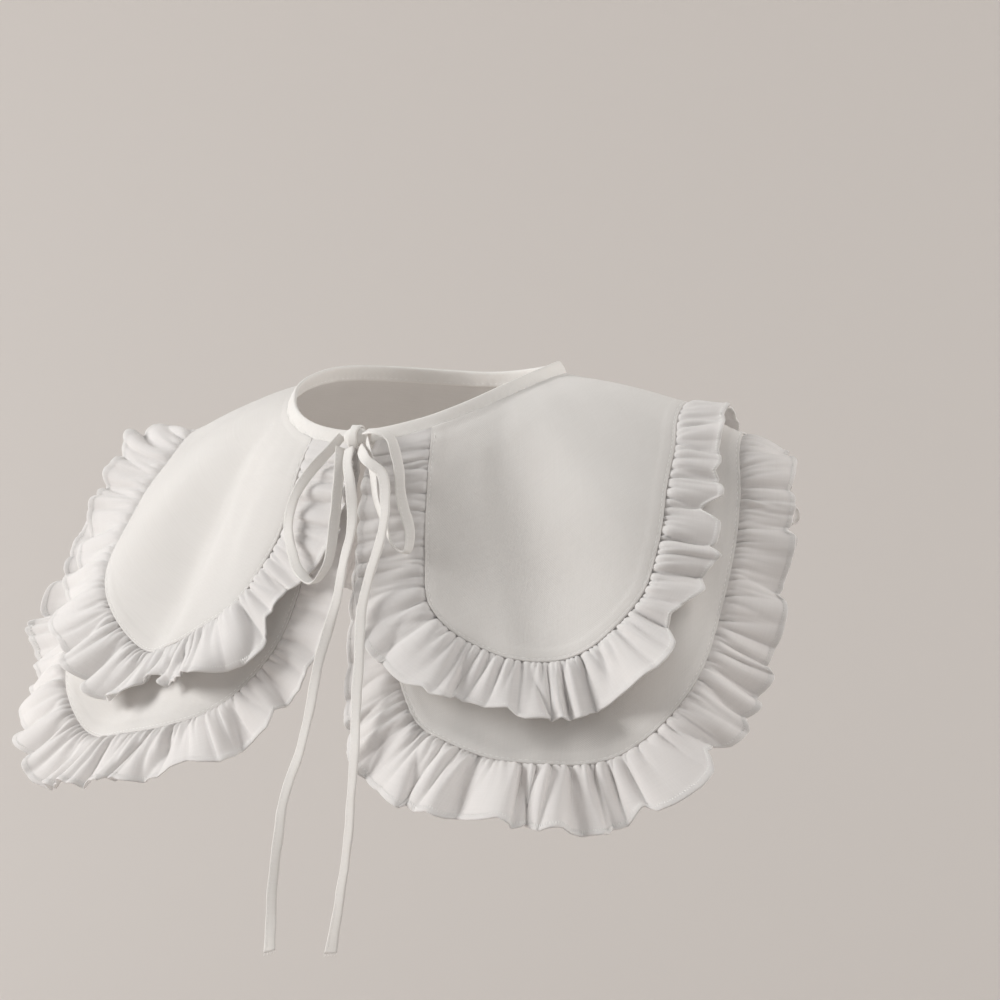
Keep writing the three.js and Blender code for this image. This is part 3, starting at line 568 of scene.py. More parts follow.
LOWER_SEAM = [
    (28, 0, 21, 1.6, 0), (25, 40, 22, 2, 0), (23, 81, 23, 2.4, 0), (24, 110, 26, 2.4, 0),
    (26.5, 130, 31, 4, 0), (30, 150, 34, 7, 2), (37, 167, 37, 11, 3), (44, 181, 38, 12, 4),
    (52, 192, 38, 12, 4), (57.5, 198, 38, 12, 3), (62.5, 201, 36, 10, 1), (66, 200, 33, 9, 0),
    (70, 195, 31, 8, 0), (73.5, 186, 29, 8, 0), (77.5, 171, 27, 8, 0), (81.5, 152, 25, 7, 0),
    (85, 134, 23, 7, 2), (89, 116, 22, 6, 4), (97, 108, 23, 6, 4), (112, 115, 29, 8, 4),
    (140, 128, 36, 10, 5), (180, 134, 37, 10, 5), (220, 128, 36, 10, 5), (246, 116, 34, 9, 10),
    (262, 112, 33, 8, 20), (271, 122, 35, 9, 18), (275.5, 141, 36, 10, 24), (279, 157, 36, 10, 30),
    (283.5, 172, 36, 10, 28), (288, 184, 35, 9, 17), (292.5, 194, 34, 8, 6), (298, 199, 33, 9, 0),
    (304, 194, 33, 10, 0), (315, 177, 34, 11, 1), (323.5, 165, 34, 11, 2), (333, 149, 32, 9, 1),
    (337.5, 137, 28, 7, 1), (342, 121, 26, 5, 0), (346.5, 101, 25, 3, 0), (349, 80, 25, 2.4, 0),
    (349, 40, 25, 2, 0), (347, 0, 24, 1.6, 0),
]

# The ruffles' main folds, one after the other along the seam: where each starts, in millimetres of
# seam, its height as a share of the table's depth, and how far it leans over the next one.
UPPER_FOLDS = [
    (0, 0.6, 0), (9, 0.7, 0), (18, 0.6, 0), (27, 0.7, 0), (36, 0.6, 0), (45, 0.7, 0), (54, 0.6, 0),
    (63, 0.7, 0), (72, 0.6, 0), (81, 0.7, 0.2), (92, 1.0, 0.5), (120, 1.0, 0.7), (151, 0.7, 0.1),
    (165, 0.6, 0.2), (178, 1.2, 0.8), (213, 0.8, 0.4), (232, 1.0, 0.7), (250, 0.8, 0.5),
    (267, 0.9, 0.6), (284, 1.0, 0.7), (304, 0.8, 0.5), (322, 0.9, 0.4), (340, 0.9, -0.2),
    (361, 1.0, 0.2), (385, 0.8, 0.5), (404, 1.0, 0.1), (430, 0.9, -0.4), (451, 1.0, -0.1),
    (476, 1.0, 0.4), (503, 0.8, 0.1), (522, 1.0, -0.5), (549, 0.9, -0.2), (570, 1.0, 0.3),
    (597, 0.8, 0.5), (616, 1.0, -0.1), (641, 0.9, -0.5), (664, 1.0, -0.2), (690, 0.8, 0.4),
    (710, 1.0, 0.1), (735, 0.9, -0.4), (756, 0.9, -0.6), (774, 0.8, -0.5), (790, 0.9, -0.6),
    (806, 0.9, -0.4), (822, 1.0, -0.7), (839, 0.9, -0.5), (856, 1.0, -0.6), (874, 0.9, -0.7),
    (893, 1.0, -0.5), (912, 0.9, -0.3), (931, 1.0, 0.5), (955, 0.7, 0.1), (968, 0.7, 0.3),
    (979, 1.3, 1.0), (1010, 0.6, 0.3), (1030, 1.0, -0.3), (1043, 1.1, 0.3), (1055, 1.0, -0.3),
    (1066, 1.1, 0.3), (1077, 1.0, -0.2), (1088, 0.8, 0), (1099, 0, 0),
]
LOWER_FOLDS = [
    (0, 0.8, 0), (13, 0.9, 0), (27, 0.8, 0), (40, 0.9, 0), (54, 0.8, 0), (67, 0.9, 0), (80, 0.8, 0),
    (93, 0.9, 0), (106, 0.9, 0.2), (119, 1.0, 0.3), (132, 0.9, 0.4), (146, 0.8, 0.5), (160, 0.8, 0.2),
    (184, 1.1, 0.4), (210, 1.0, -0.2), (231, 0.7, 0.2), (247, 1.2, 0.7), (284, 0.9, 0.5),
    (305, 0.7, 0.4), (317, 0.9, 0.7), (331, 1.0, 0.8), (368, 1.0, 0.8), (394, 0.7, 0.4),
    (411, 0.9, 0.7), (431, 1.0, 0.6), (457, 0.8, 0.3), (478, 1.0, -0.2), (505, 0.9, 0.3),
    (528, 1.0, 0.6), (556, 0.8, 0.1), (578, 1.0, -0.5), (607, 1.0, -0.1), (634, 0.8, 0.5),
    (655, 1.0, 0.2), (683, 1.0, -0.4), (712, 0.8, -0.1), (733, 1.0, 0.5), (761, 1.0, 0.1),
    (788, 0.9, -0.5), (812, 1.0, -0.2), (840, 0.8, 0.4), (861, 1.0, 0.1), (888, 1.0, -0.5),
    (915, 0.8, -0.2), (936, 1.0, 0.3), (962, 0.5, -0.4), (984, 0.35, -0.3), (1008, 0.3, -0.2),
    (1032, 0.7, -0.8), (1050, 1.1, -0.6), (1067, 1.1, -0.7), (1084, 0.9, -0.5), (1100, 1.0, -0.6),
    (1114, 0.9, -0.3), (1126, 1.1, -0.5), (1146, 0.9, 0.2), (1164, 0.8, 0.4), (1182, 1.1, 0.7),
    (1209, 0.9, -0.3), (1230, 1.2, 0.4), (1258, 0.9, 0.6), (1280, 1.0, 0.5), (1300, 0.9, 0.4),
    (1316, 0.9, 0.2), (1330, 0.8, 0), (1343, 0.9, 0), (1356, 0.8, 0), (1369, 0.9, 0),
    (1383, 0.8, 0), (1397, 0, 0),
]

# How much further out the hem lies at a length of seam, in millimetres; it steps where a fold laps
# over the next one.
UPPER_HEM = [
    (0, 0), (112, 1), (116, -2), (119, 1), (134, -1), (146, -5), (151, 3), (172, 4), (190, 3),
    (204, 3), (210, 0), (214, -6), (219, -11), (223, -10), (229, -5), (238, -3), (245, 1),
    (249, -3), (253, 1), (262, 1), (267, -6), (271, -5), (276, 2), (288, 1), (291, -2), (295, 0),
    (320, 0), (340, -4), (420, -4), (450, 0), (790, 0), (936, 1), (943, -5), (949, -11),
    (958, -11), (964, -1), (980, 3), (1002, 4), (1008, 2), (1015, -10), (1030, -12), (1043, -6),
    (1056, 0), (1099, 0),
]
LOWER_HEM = [
    (0, 0), (188, 0), (205, -3), (211, 3), (214, 2), (217, -2), (221, 4), (240, 6), (250, 3),
    (254, -1), (258, -7), (261, -1), (266, 0), (274, 0), (279, -2), (284, -8), (288, -8),
    (292, -3), (299, -3), (302, -6), (306, -2), (318, 1), (326, 1), (328, -2), (332, 2), (361, 1),
    (363, -2), (367, 1), (389, 1), (391, -2), (395, 1), (440, 0), (465, -9), (570, -9), (630, 0),
    (900, 0), (970, -8), (1034, -9), (1046, 2), (1070, 3), (1084, 0), (1120, 0), (1130, -3),
    (1140, 3), (1180, 1), (1196, 2), (1200, -3), (1212, 0), (1228, -2), (1236, -6), (1246, 1),
    (1264, 2), (1270, -3), (1284, 3), (1292, -1), (1310, 0), (1397, 0),
]
# Lengths of seam at the lowest point on the wearer's left and on the right.
UPPER_FALL, LOWER_FALL = (140, 975), (190, 1225)


def fold_at(folds, l):
    """Height (0 to 1), lean and hem at a length of seam: round on top, sharp in the crease.

    The hem runs out towards the side that the fold leans to and steps back at the crease there.
    """
    t = np.array(folds, float)
    k = np.clip(np.searchsorted(t[:, 0], l, side="right") - 1, 0, len(t) - 2)
    share = np.clip((l - t[k, 0]) / (t[k + 1, 0] - t[k, 0]), 0, 1)
    lean = t[k, 2]
    to_lean = np.where(lean > 0, share, 1 - share)
    stepped = (to_lean * (1 - to_lean ** 9) - 0.38) * np.abs(lean)
    even = (np.sin(math.pi * share) - 0.6) * (1 - np.abs(lean)) * 0.5
    share = share ** (math.log(0.5) / np.log(0.5 + 0.2 * lean))
    return np.sin(math.pi * share) ** 0.75 * t[k, 1], lean, (stepped + even) * t[k, 1]


class Seam:
    """A layer's outer seam: place and columns of the table at a length along it."""

    def __init__(self, rows):
        t = np.array(rows, float)
        flat = on_plan(t[:, 0], t[:, 1])
        chord = path_lengths(flat)
        self.x, self.y, *self.columns = [spline(chord, column) for column in (*flat.T, *t[:, 2:].T)]
        self.c = np.linspace(0, chord[-1], 601)
        self.lengths = path_lengths(drape(*self.place(self.c)))
        self.length = self.lengths[-1]

    def place(self, c):
        return from_plan(self.x(c), self.y(c))

    def chord(self, l):
        return np.interp(np.clip(l, 0, self.length), self.lengths, self.c)

    def at(self, l):
        c = self.chord(l)
        return (*self.place(c), *[f(c) for f in self.columns])

    def flat(self, l):
        c = self.chord(l)
        return np.stack([self.x(c), self.y(c)], -1)


LIFT_AT_NECK, LIFT_IN_FRONT, LIFT_AT_SIDE = 1.9, 5.2, 3.4


def lift_of(upper, azimuth, distance):
    """How far a layer lies over the drape: the upper one lies on the lower."""
    if not upper:
        return np.zeros(np.broadcast(azimuth, distance).shape)
    side = ease((np.minimum(azimuth, 360 - azimuth) - 45) / 35)
    full = LIFT_IN_FRONT + (LIFT_AT_SIDE - LIFT_IN_FRONT) * side
    return LIFT_AT_NECK + (full - LIFT_AT_NECK) * ease(distance / 26)


# Leaves.

LEAF_STEP, LEAF_ROWS = ((2.1, 46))
NEAR_EDGE = np.array([0, 0.3, 0.7, 1.2, 1.8, 2.4, 3.1, 4.0, 5.0, 5.8, 6.6, 7.6, 9.0, 11.0])
NEAR_NECK = np.array([0.7, 2.0, 3.6])
FRONT_SHARE = 0.12  # how much of a leaf follows its front edge, as a share of its seam
MID_PLY = 0.6  # from the drape to the middle of a leaf
STITCHED_AT = 1.7  # from the edge to the stitches


def leaf(name, rows, upper):
    path = Seam(rows)

    def corner(low, high, sign):
        l = np.arange(low, high + 0.001, 1.0)
        p = drape(*path.at(l)[:2])
        return l[np.argmax(-sign * p[:, 0] * 0.75 - p[:, 2])]

    start, stop = corner(0, 260, 1), corner(path.length - 260, path.length, -1)
    first, last = path.at(start)[0], path.at(stop)[0]
    neck_first, neck_last = rows[0][0], rows[-1][0]
    span = stop - start

    def flat_grid(a, b):
        """Place at a share a along the leaf and a share b from the neck to the seam."""
        l = start + span * a
        turned = neck_first + (path.at(l)[0] - first) / (last - first) * (neck_last - neck_first)
        b3 = b[..., None]
        p = on_plan(turned, NECK_GAP) * (1 - b3) + path.flat(l) * b3
        for edge, at_corner, neck, from_front in (
            (b * start, start, neck_first, a),
            (path.length - b * (path.length - stop), stop, neck_last, 1 - a),
        ):
            straight = on_plan(neck, NECK_GAP) * (1 - b3) + path.flat(at_corner) * b3
            weight = 1 - ease(from_front / FRONT_SHARE)
            p = p + weight[..., None] * (path.flat(edge) - straight)
        return from_plan(p[..., 0], p[..., 1])

    # columns and rows lie closer together along the sewn edge
    near, far = NEAR_EDGE[:-1], NEAR_EDGE[-1]
    even = np.linspace(far, span - far, int((span - 2 * far) / LEAF_STEP))
    a1 = np.concatenate([near, even, (span - near)[::-1]]) / span
    coarse = drape(*flat_grid(*np.meshgrid(a1, np.linspace(0, 1, 15))))
    lengths = np.linalg.norm(np.diff(coarse, axis=0), axis=2).sum(0)
    edge_b = 1 - NEAR_EDGE[None, ::-1] / lengths[:, None]
    neck_b = NEAR_NECK[None] / lengths[:, None]
    body_b = np.linspace(0, 1, LEAF_ROWS + 1)[None, :-1] * edge_b[:, :1]
    least_b = neck_b[:, -1:] + 0.004 * np.arange(1, LEAF_ROWS)[None] / LEAF_ROWS
    b = np.concatenate([body_b[:, :1], neck_b, np.maximum(body_b[:, 1:], least_b), edge_b], 1).T
    a = np.repeat(a1[None], b.shape[0], 0)
    azimuth, distance = flat_grid(a, b)
    from_neck = b * lengths[None]
    distance = distance - 2.3 * (1 - ease(from_neck / 6))
    normal = along(azimuth, np.maximum(distance, 0.0))[2]
    lift = lift_of(upper, azimuth, distance)
    if upper:
        swell = 1 + np.sin(np.radians(azimuth * 9)) * np.cos(distance / 31)
        lift = 0.55 + (lift - 0.55) * ease(distance / 9) + 0.6 * ease(distance / 60) * swell
    else:
        swell = 1 + np.sin(np.radians(azimuth * 7) + 1) * np.cos(distance / 27 + 1)
        lift = lift - 0.35 * (1 - ease(distance / 6)) + 0.45 * ease(distance / 50) * swell
    middle = drape(azimuth, distance) + normal * (lift + MID_PLY)[..., None]

    # distance of each point from the sewn edge, and where along it
    l = np.arange(0, path.length, 0.4)
    az, dist = path.at(l)[:2]
    raised = lift_of(upper, az, dist) + MID_PLY + (0.5 if upper else 0.2)
    seam = tree_of(drape(az, dist) + along(az, dist)[2] * raised[:, None])
    found = [seam.find(p)[1:] for p in middle.reshape(-1, 3)]
    edge = np.array([f[1] for f in found]).reshape(azimuth.shape)
    edge_l = l[np.array([f[0] for f in found])].reshape(azimuth.shape)
    border = np.zeros(azimuth.shape, bool)
    border[-1], border[:, 0], border[:, -1] = True, True, True
    edge = np.where(border, 0, edge)

    # turned and pressed edge: a soft ridge over the seam allowance inside, puckered by the stitches
    half = 0.42 + 0.24 * (1 - ease((edge - 5.4) / 2.0))
    half = half * rounded(edge / 0.8) * ease((from_neck + 0.4) / 1.2)
    groove = bell(edge, STITCHED_AT, 0.42)
    pucker = 0.10 * np.sin(edge_l / 0.62 + 1.4 * np.sin(edge_l / 9.0))
    pucker = pucker * np.exp(-edge / 4.0) * ease(edge / 0.8)
    soft = 0.16 * np.sin(edge_l / 5.2 + 2 * np.sin(edge_l / 21))
    soft = soft * np.exp(-edge / 11.0) * ease(edge / 1.5)
    wrinkle = 0.22 * np.sin(azimuth * 0.55 + 3 * np.sin(distance / 37))
    wrinkle = wrinkle * np.sin(distance / 19 + azimuth / 23) * ease(edge / 14) * ease(distance / 20)
    offset = pucker + soft + wrinkle
    outer = middle + normal * (offset + (half - 0.16 * groove))[..., None]
    inner = middle + normal * (offset - (half - 0.10 * groove))[..., None]
    border[0] = True
    joined = (outer + inner) / 2
    outer, inner = (np.where(border[..., None], joined, face) for face in (outer, inner))
    uv = np.stack([(start + span * a) * (0.55 + 0.45 * b), from_neck], -1)
    ob = shell(name, outer, inner, uv, leaf_cotton)

    # stitches beside the edge, on the outer face
    face = outer[1:-1, 1:-1].reshape(-1, 3)
    surface = tree_of(face)

    def stitch_end(l):
        az, dist = path.at(l)[:2]
        n = along(az, dist)[2]
        t = unit(drape(*path.at(l + 1.5)[:2]) - drape(*path.at(l - 1.5)[:2]))
        q = drape(az, dist) - unit(np.cross(t, n)) * STITCHED_AT
        over = q + n * (lift_of(upper, az, dist) + 1.2)[:, None]
        nearest = face[[surface.find(p)[1] for p in over]]
        return q + n * (dot(nearest - q, n) + 0.02)[:, None], n

    s = np.arange(3.0, path.length - 3.0, 2.9)
    starts, ups = stitch_end(s)
    ends = stitch_end(s + 1.9)[0]
    return ob, threads(name + "_stitches", starts, ends, ups, 0.15)


# Ruffles.

RUFFLE_STEP, OVERLOCK_PITCH = ((0.78, 1.35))
TUCKED_ROWS = [-1.6, -0.8]  # how far these rows lie under the leaf's edge
OVERLOCK_FROM = 0.905
ROWS = [  # shares of the ruffle's width
    0, 0.02, 0.045, 0.075, 0.11, 0.15, 0.195, 0.245, 0.30, 0.36, 0.42, 0.485, 0.55, 0.615, 0.68,
    0.745, 0.805, 0.86, OVERLOCK_FROM, 0.94, 0.965, 0.982, 0.993, 1.0,
]
FULLNESS = 1.55  # length of the cloth to length of its seam


def ruffle(name, rows, upper, folds, hem_steps, fall, seed):
    path = Seam(rows)
    l = np.linspace(0, path.length, int(path.length / RUFFLE_STEP) + 1)
    # two close columns at each end, so that the end edges are rounded too
    l = np.sort(np.concatenate([l, [0.15, 0.4, path.length - 0.15, path.length - 0.4]]))
    azimuth, distance, width, depth, flare = path.at(l)
    seam = unit(drape(*path.at(l + 2)[:2]) - drape(*path.at(l - 2)[:2]))
    end = np.minimum(l, path.length - l)
    width = width + fold_at(folds, l)[2] * 0.36 * depth * ease(end / 30)
    width = width + np.interp(l, *np.array(hem_steps, float).T)
    angle = np.radians(flare)
    runs = np.array([np.full(l.shape, run) for run in TUCKED_ROWS] + [width * f for f in ROWS])

    # walk inwards, then outwards, from the seam over the drape
    places = []
    for k, run in enumerate(runs):
        if k in (0, len(TUCKED_ROWS)):
            az, dist, previous = azimuth, distance, 0
        by_az, by_dist, n = along(az, dist)
        out = unit(np.cross(seam, n))
        level = unit(by_az)
        level = level * np.where(dot(level, out) < 0, -1, 1)[:, None]
        w = (1 - ease(end / 30))[:, None]
        out = unit(out * (1 - w) + level * w)
        ee, eg, gg = dot(by_az, by_az), dot(by_az, by_dist), dot(by_dist, by_dist)
        oe, og = dot(out, by_az), dot(out, by_dist)
        move = (run - previous) * np.cos(angle) / (ee * gg - eg * eg)
        az = az + move * (oe * gg - og * eg)
        dist = np.maximum(NECK_GAP, dist + move * (og * ee - oe * eg))
        previous = run
        places.append((az, dist))
    az, dist = np.array(places).transpose(1, 0, 2)
    f = np.clip(runs / width, 0, 1)
    beyond = np.maximum(runs, 0)
    tuck = 1 - ease(end / 6)
    shown = dist - 2.1 * tuck
    n = along(az, np.maximum(shown, 0.0))[2]
    base = lift_of(upper, azimuth[None], np.minimum(distance[None], dist)) * (1 - 0.6 * tuck)
    base = base + beyond * np.sin(angle) * np.sqrt(f)

    # large folds where the solid has them; their creases run a little askew
    askew = waves(l, (0.12, 25.0, 2 * seed), (0.07, 9.0, seed)) * ease(end / 40)
    # beside the lowest point they fall straight down instead of square to the seam
    askew = askew + 0.42 * (bell(l, fall[0], 42) - bell(l, fall[1], 42))
    fold, leaning, _ = fold_at(folds, l - askew * beyond)
    big = depth * ease(end / 12 + 0.25) * f ** 0.9 * fold
    lean = big * leaning * 0.85

    def risen(under, within):
        """From 0 at a run under the seam towards 1 beyond it."""
        return 1 - np.exp(-np.maximum(runs + under, 0) / within)

    # smaller folds between them
    phase = math.pi * (l / 10.2 + waves(l, (0.45, 13.3, seed), (0.30, 6.1, 1.7 * seed)))
    drift = 0.5 + 0.5 * np.sin(l / 17.9 + 2.2 * seed) * np.sin(l / 29.3 + seed)
    tall = np.minimum(0.45 + (0.14 + 0.32 * drift) * depth, 5.0) * ease(end / 10 + 0.1)
    small = tall * np.abs(np.sin(phase)) ** 0.75 * risen(0.4, 3.2) * (1 - 0.42 * f)
    lean = lean + small * waves(l, (0.50, 31.0, seed), (0.28, 12.1, 2 * seed))

    # gathers at the seam: puffs between sharp creases that fade towards the hem
    rng = np.random.default_rng(int(seed * 100))
    puff_size = np.minimum(2.3, 0.5 + 0.24 * depth) * ease(end / 14 + 0.1)
    puff = puff_size * risen(0.3, 1.3) * (1 - 0.55 * ease(f * 1.2))
    crease = np.zeros(runs.shape)
    at = 2.0
    while at < path.length - 2:
        deep, reach, slant = rng.uniform(0.6, 1.7), rng.uniform(4, 22), rng.uniform(-0.22, 0.22)
        low, high = np.searchsorted(l, [at - 14, at + 14])
        r = beyond[:, low:high]
        across = np.abs(l[low:high] - at - slant * r) / (0.55 + 0.10 * r)
        crease[:, low:high] += deep * np.exp(-(across ** 1.3)) * np.exp(-r / reach)
        at += rng.uniform(2.6, 6.6) * (0.85 + 0.3 * math.sin(at / 40))
    crease = crease * puff_size * risen(0.6, 0.8)
    # the hem is a little wavy and curls
    curl = 0.55 * np.sin(l / 4.4 + 2 * np.sin(l / 15 + seed)) + 0.3
    curl = curl * ease((f - 0.86) / 0.14) * ease(depth / 5)
    ripple = 0.35 * np.sin(l / 3.3 + 3 * f + seed) * np.sin(l / 27 + seed) * f * ease(depth / 6)
    tucked = runs < 0
    height = base + small + puff - crease + curl + ripple + 0.25
    height = np.where(tucked, base + 0.55 - 0.1 * (runs - TUCKED_ROWS[0]), height)
    # on the steep parts the large folds stand out level and hang, instead of standing square
    hang = 0.78 * ease((0.9 - n[..., 2]) / 0.4)
    if not upper:
        hang = hang * (1 - 0.45 * ease((l - 1000) / 80))
    outward = n.copy()
    outward[..., 2] *= 1 - hang
    outward = unit(outward)
    outward[..., 2] -= 0.16 * hang

    middle = drape(az, shown) + n * height[..., None] + seam[None] * lean[..., None]
    middle = middle + outward * (big * ~tucked)[..., None]
    face = grid_normal(middle)
    # cloth and its thicker overlocked hem
    from_hem = width - runs
    half = 0.21 + (0.26 + 0.05 * np.sin(l / 0.34)) * ease((2.6 - from_hem) / 0.7)
    half = half * rounded(from_hem / 0.5) * np.sqrt(np.clip(end / 0.4, 0, 1))
    half[0] = 0
    outer, inner = (middle + sign * face * half[..., None] for sign in (1, -1))
    uv = np.stack(np.broadcast_arrays(l * FULLNESS, runs), -1)
    ob = shell(name, outer, inner, uv, ruffle_cotton)

    # overlock: slanting threads on both faces of the hem, meeting on the edge
    row_in = len(TUCKED_ROWS) + ROWS.index(OVERLOCK_FROM)
    arc = path_lengths(middle[-1])
    s = np.arange(1.0, arc[-1] - 1.5, OVERLOCK_PITCH)
    on_edge = read_at(s + OVERLOCK_PITCH / 2, arc, middle[-1])
    starts, ends, ups = [], [], []
    for grid, sign in ((outer, 1), (inner, -1)):
        up = read_at(s, arc, face[row_in]) * sign
        first, last = (
            read_at(x, arc, grid[row_in]) + up * 0.06 for x in (s, s + OVERLOCK_PITCH)
        )
        lifted = on_edge + up * 0.28
        starts += [first, lifted]
        ends += [lifted, last]
        ups += [up, up]
    starts, ends, ups = (np.concatenate(x) for x in (starts, ends, ups))
    return ob, threads(name + "_overlock", starts, ends, ups, 0.21, sides=3)


lower_leaf, lower_leaf_stitches = leaf("lower_leaf_cloth", LOWER_SEAM, False)
upper_leaf, upper_leaf_stitches = leaf("upper_leaf_cloth", UPPER_SEAM, True)
lower_ruffle, lower_overlock = ruffle(
    "lower_ruffle_cloth", LOWER_SEAM, False, LOWER_FOLDS, LOWER_HEM, LOWER_FALL, 1.3
)
upper_ruffle, upper_overlock = ruffle(
    "upper_ruffle_cloth", UPPER_SEAM, True, UPPER_FOLDS, UPPER_HEM, UPPER_FALL, 2.1
)

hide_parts("lower_leaf")
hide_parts("upper_leaf")
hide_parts("lower_ruffle")
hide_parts("upper_ruffle")


# Neckband.

BAND_FROM, BAND_TO, BAND_LEAN = 9.5, 361.5, math.radians(66)
BAND_SEWN_AT = 1.25
BIAS = 0.7071  # the binding is cut at 45 degrees to the weave


def neckband():
    a = np.radians(np.linspace(BAND_FROM, BAND_TO, 421))
    out = np.stack([np.sin(a), -np.cos(a), 0 * a], -1)
    z = np.array([0, 0, 1.0])
    up = -out * math.cos(BAND_LEAN) + z * math.sin(BAND_LEAN)
    across = out * math.sin(BAND_LEAN) + z * math.cos(BAND_LEAN)
    base = out * NECK_RADIUS
    base[:, 2] = neck_height(a)
    arc = path_lengths(base)
    u, v = flat_section(32, 0.45, 0.7)
    tall = 3.55 + 4.35 * u  # from just over the cloth's edge up to the fold
    body = 1.42 * v * (1 - 0.24 * bell(tall, BAND_SEWN_AT, 0.38))
    body = body * (1 - 0.16 * np.clip((tall - 2) / 6, 0, 1))
    wave = waves(arc, (0.22, 13, 1), (0.16, 6.1, 0), (0.10, 3.4, 2)) * 0.6 / 8
    pucker = 0.12 * np.sin(arc / 0.62 + 1.3 * np.sin(arc / 7.7))[:, None]
    pucker = pucker * np.exp(-np.abs(tall - 1.4) / 1.3)
    drag = 0.10 * np.sin(arc[:, None] / 2.3 + tall * 0.9) * np.clip(1 - tall / 9, 0, 1)
    height = tall + 0.12 * np.sin(arc / 9.3)[:, None]
    depth = body + np.sign(v) * pucker + drag + wave[:, None] * tall + 0.1
    ring = base[:, None] + height[..., None] * up[:, None] + depth[..., None] * across[:, None]
    around = path_lengths(np.stack([tall, body], -1))
    uv = np.stack([arc[:, None] + around, around - arc[:, None]], -1) * BIAS
    faces = tube_faces(len(a), len(u), flip=True)
    ob = mesh_object(
        "neckband_binding", ring.reshape(-1, 3), faces, uv.reshape(-1, 2), binding_cotton
    )

    def stitch_end(s, face):
        q, along_up, through = (read_at(s, arc, vectors) for vectors in (base, up, across))
        out_by = face * 1.12 + np.interp(s, arc, wave) * BAND_SEWN_AT + 0.1
        return q + along_up * BAND_SEWN_AT + through * out_by[:, None], through * face

    places = np.arange(3, arc[-1] - 3, 2.7)
    return ob, stitch_line("neckband_stitches", stitch_end, places, 1.8, 0.15)


band, band_stitches = neckband()
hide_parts("neckband")


# Knot: a lump with the strap wound once round it.

KNOT_CENTRE = np.array([7.5, -77.5, -30.0])
KNOT_LONG, KNOT_DEEP, KNOT_TALL, KNOT_SLANT = 6.3, 3.9, 5.0, 0.6
TURN_DEEP, TURN_TALL, TURN_HALF_WIDTH = 4.05, 5.25, 2.7


def knot():
    c = KNOT_CENTRE
    rings, count = 40, 48
    lat = (np.arange(1, rings) / rings - 0.5) * math.pi
    lon = np.arange(count) * 2 * math.pi / count
    la, lo = np.meshgrid(lat, lon, indexing="ij")
    crease = 1 - 0.13 * np.abs(np.sin(1.5 * lo + 1.2 * la)) ** 0.6 * np.abs(np.sin(la))
    crease = crease - 0.05 * np.abs(np.sin(4 * lo + 3 * la))
    girth = crease * np.cos(la) ** 0.7
    p = c + np.stack([
        KNOT_LONG * np.sin(la),
        KNOT_DEEP * girth * np.sin(lo),
        KNOT_TALL * girth * np.cos(lo) + KNOT_SLANT * np.sin(la),
    ], -1)
    tip = np.array([KNOT_LONG, 0, KNOT_SLANT])
    verts = [c - tip, *p.reshape(-1, 3), c + tip]
    ids = 1 + np.arange((rings - 1) * count).reshape(rings - 1, count)
    after = np.roll(ids, -1, 1)
    faces = quads_of(ids[:-1], after[:-1], after[1:], ids[1:]).tolist()
    faces += [[0, int(after[0, j]), int(ids[0, j])] for j in range(count)]
    faces += [[len(verts) - 1, int(ids[-1, j]), int(after[-1, j])] for j in range(count)]
    uv = [[0, 0]] + [[b * 5, a * 6] for a in lat for b in lon] + [[0, 9]]
    # the strap's turn over the lump, a little slanted and pinched
    turns = 72
    th = np.arange(turns) * 2 * math.pi / turns
    middle = c + np.stack(
        [0.9 * np.cos(th + 0.5) + 0.3, TURN_DEEP * np.sin(th), TURN_TALL * np.cos(th)], -1
    )
    outward = unit(np.stack([0 * th, np.sin(th) / TURN_DEEP, np.cos(th) / TURN_TALL], -1))
    tangent = unit(np.roll(middle, -1, 0) - np.roll(middle, 1, 0))
    wide = unit(np.cross(tangent, outward))
    u, v = flat_section(16, 0.6, 0.8)
    half = (TURN_HALF_WIDTH + 0.35 * np.sin(2 * th + 1))[:, None]
    puff = 0.62 * v * (1 - 0.25 * bell(u, 0, 0.25)) + 0.14 * np.sin(6 * u + 3 * th[:, None])
    ring = middle[:, None] + (half * u)[..., None] * wide[:, None]
    ring = ring + puff[..., None] * outward[:, None]
    ids = len(verts) + np.arange(turns * len(u)).reshape(turns, len(u))
    right, down = np.roll(ids, -1, 0), np.roll(ids, -1, 1)
    faces += quads_of(ids, down, np.roll(right, -1, 1), right).tolist()
    verts = np.concatenate([verts, ring.reshape(-1, 3)])
    uv += [[x * 5, y * TURN_HALF_WIDTH] for x in th for y in u]
    return mesh_object("bow_knot_wound", verts, faces, uv, binding_cotton)


wound = knot()
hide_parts("bow_knot")

for ob, slot in (
    (lower_leaf, "leaf_cotton"), (upper_leaf, "leaf_cotton"),
    (lower_leaf_stitches, "leaf_cotton"), (upper_leaf_stitches, "leaf_cotton"),
    (lower_ruffle, "ruffle_cotton"), (upper_ruffle, "ruffle_cotton"),
    (lower_overlock, "ruffle_cotton"), (upper_overlock, "ruffle_cotton"),
    (band, "binding_cotton"), (band_stitches, "binding_cotton"), (wound, "binding_cotton"),
):
    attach(ob, "root")


# Floor, backdrop and light.


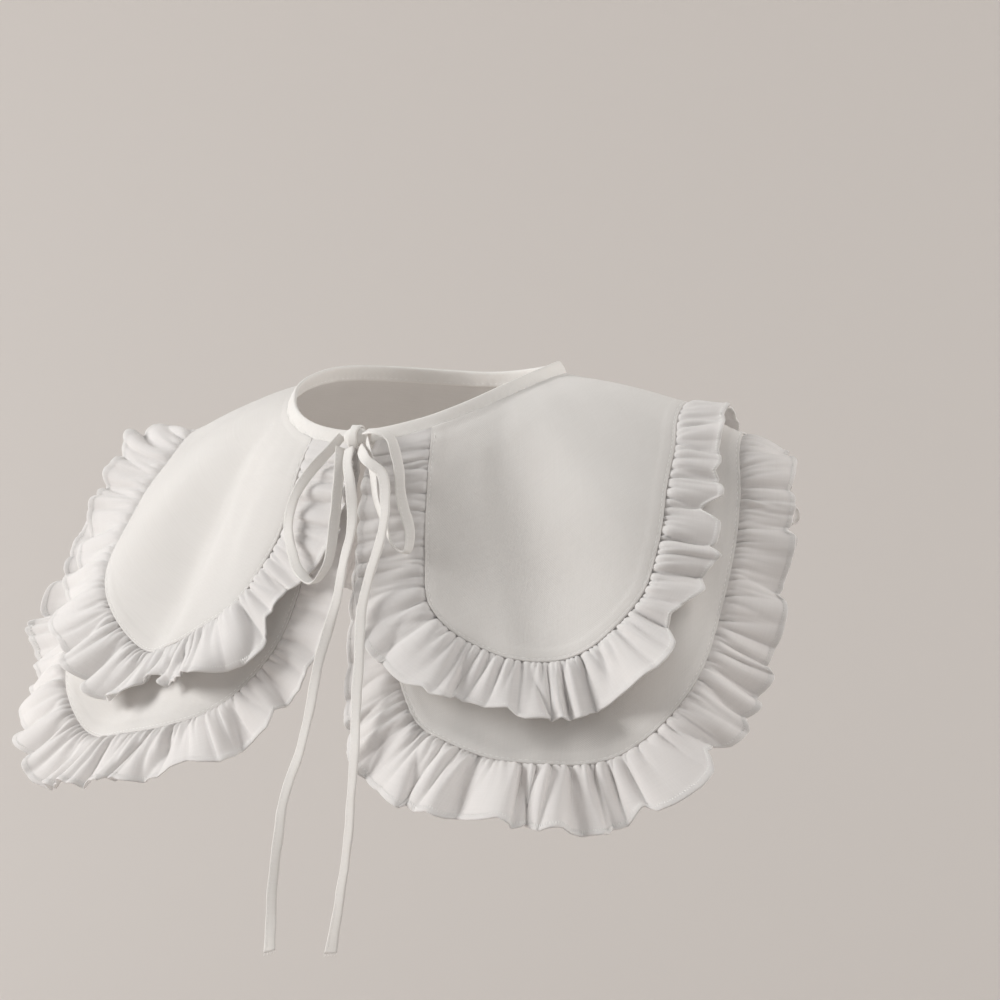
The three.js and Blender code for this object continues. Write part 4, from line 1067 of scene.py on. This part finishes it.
def stage_material(name, colour):
    """Plain and matt, and clear from behind, so that the object can be seen from all sides."""
    mat = bpy.data.materials.new(name)
    mat.use_nodes = True
    t = mat.node_tree
    bsdf = t.nodes["Principled BSDF"]
    clear = node(t, "ShaderNodeBsdfTransparent")
    side = node(t, "ShaderNodeNewGeometry")
    mix = node(t, "ShaderNodeMixShader")
    t.links.new(side.outputs["Backfacing"], mix.inputs[0])
    t.links.new(bsdf.outputs[0], mix.inputs[1])
    t.links.new(clear.outputs[0], mix.inputs[2])
    t.links.new(mix.outputs[0], t.nodes["Material Output"].inputs[0])
    bsdf.inputs["Roughness"].default_value = 0.95
    bsdf.inputs["Specular IOR Level"].default_value = 0.1
    bsdf.inputs["Base Color"].default_value = (*colour, 1)
    return mat


def backdrop():
    """A floor that curves up behind the object, seen from the camera."""
    right = Vector((math.cos(turn), math.sin(turn), 0))
    away = Vector((-math.sin(turn), math.cos(turn), 0))
    middle = Vector((0.03, 0.02, -0.46))
    reach, flat, radius, top, steps = 20.0, 0.7, 1.1, 5.0, 24
    profile = [(-reach, 0.0), (flat, 0.0)]
    for k in range(1, steps + 1):
        a = k / steps * math.pi / 2
        profile.append((flat + radius * math.sin(a), radius * (1 - math.cos(a))))
    profile.append((flat + radius, top))
    verts = [
        middle + away * d + right * s + Vector((0, 0, h))
        for d, h in profile for s in (-reach, reach)
    ]
    faces = [(2 * k, 2 * k + 1, 2 * k + 3, 2 * k + 2) for k in range(len(profile) - 1)]
    me = bpy.data.meshes.new("floor")
    me.from_pydata([tuple(v) for v in verts], [], faces)
    me.polygons.foreach_set("use_smooth", [True] * len(faces))
    me.materials.append(stage_material("floor", (0.66, 0.625, 0.60)))
    ob = placed("floor", me)


backdrop()


def lamp(name, azimuth, elevation, distance, size, watts, colour):
    """A soft lamp, placed by its angle from the camera's direction: right of it is positive."""
    data = bpy.data.lights.new(name, "AREA")
    data.shape = "DISK"
    data.size = size
    data.energy = watts
    data.color = colour
    azimuth, elevation = turn + math.radians(azimuth), math.radians(elevation)
    aimed(name, data, azimuth, elevation, LAMP_TARGET, distance)


lamp("window", -88, 19, 2.2, 1.0, 39, (1.0, 0.988, 0.972))
lamp("above", 62, 50, 2.3, 1.3, 15, (1.0, 0.968, 0.935))
lamp("fill", 88, 12, 2.6, 1.8, 19, (1.0, 0.965, 0.93))
world = bpy.data.worlds.new("soft")
world.use_nodes = True
background = world.node_tree.nodes["Background"]
background.inputs["Color"].default_value = (1.0, 0.985, 0.965, 1)
background.inputs["Strength"].default_value = 0.36
bpy.context.scene.world = world
bpy.context.scene.view_settings.view_transform = "Standard"
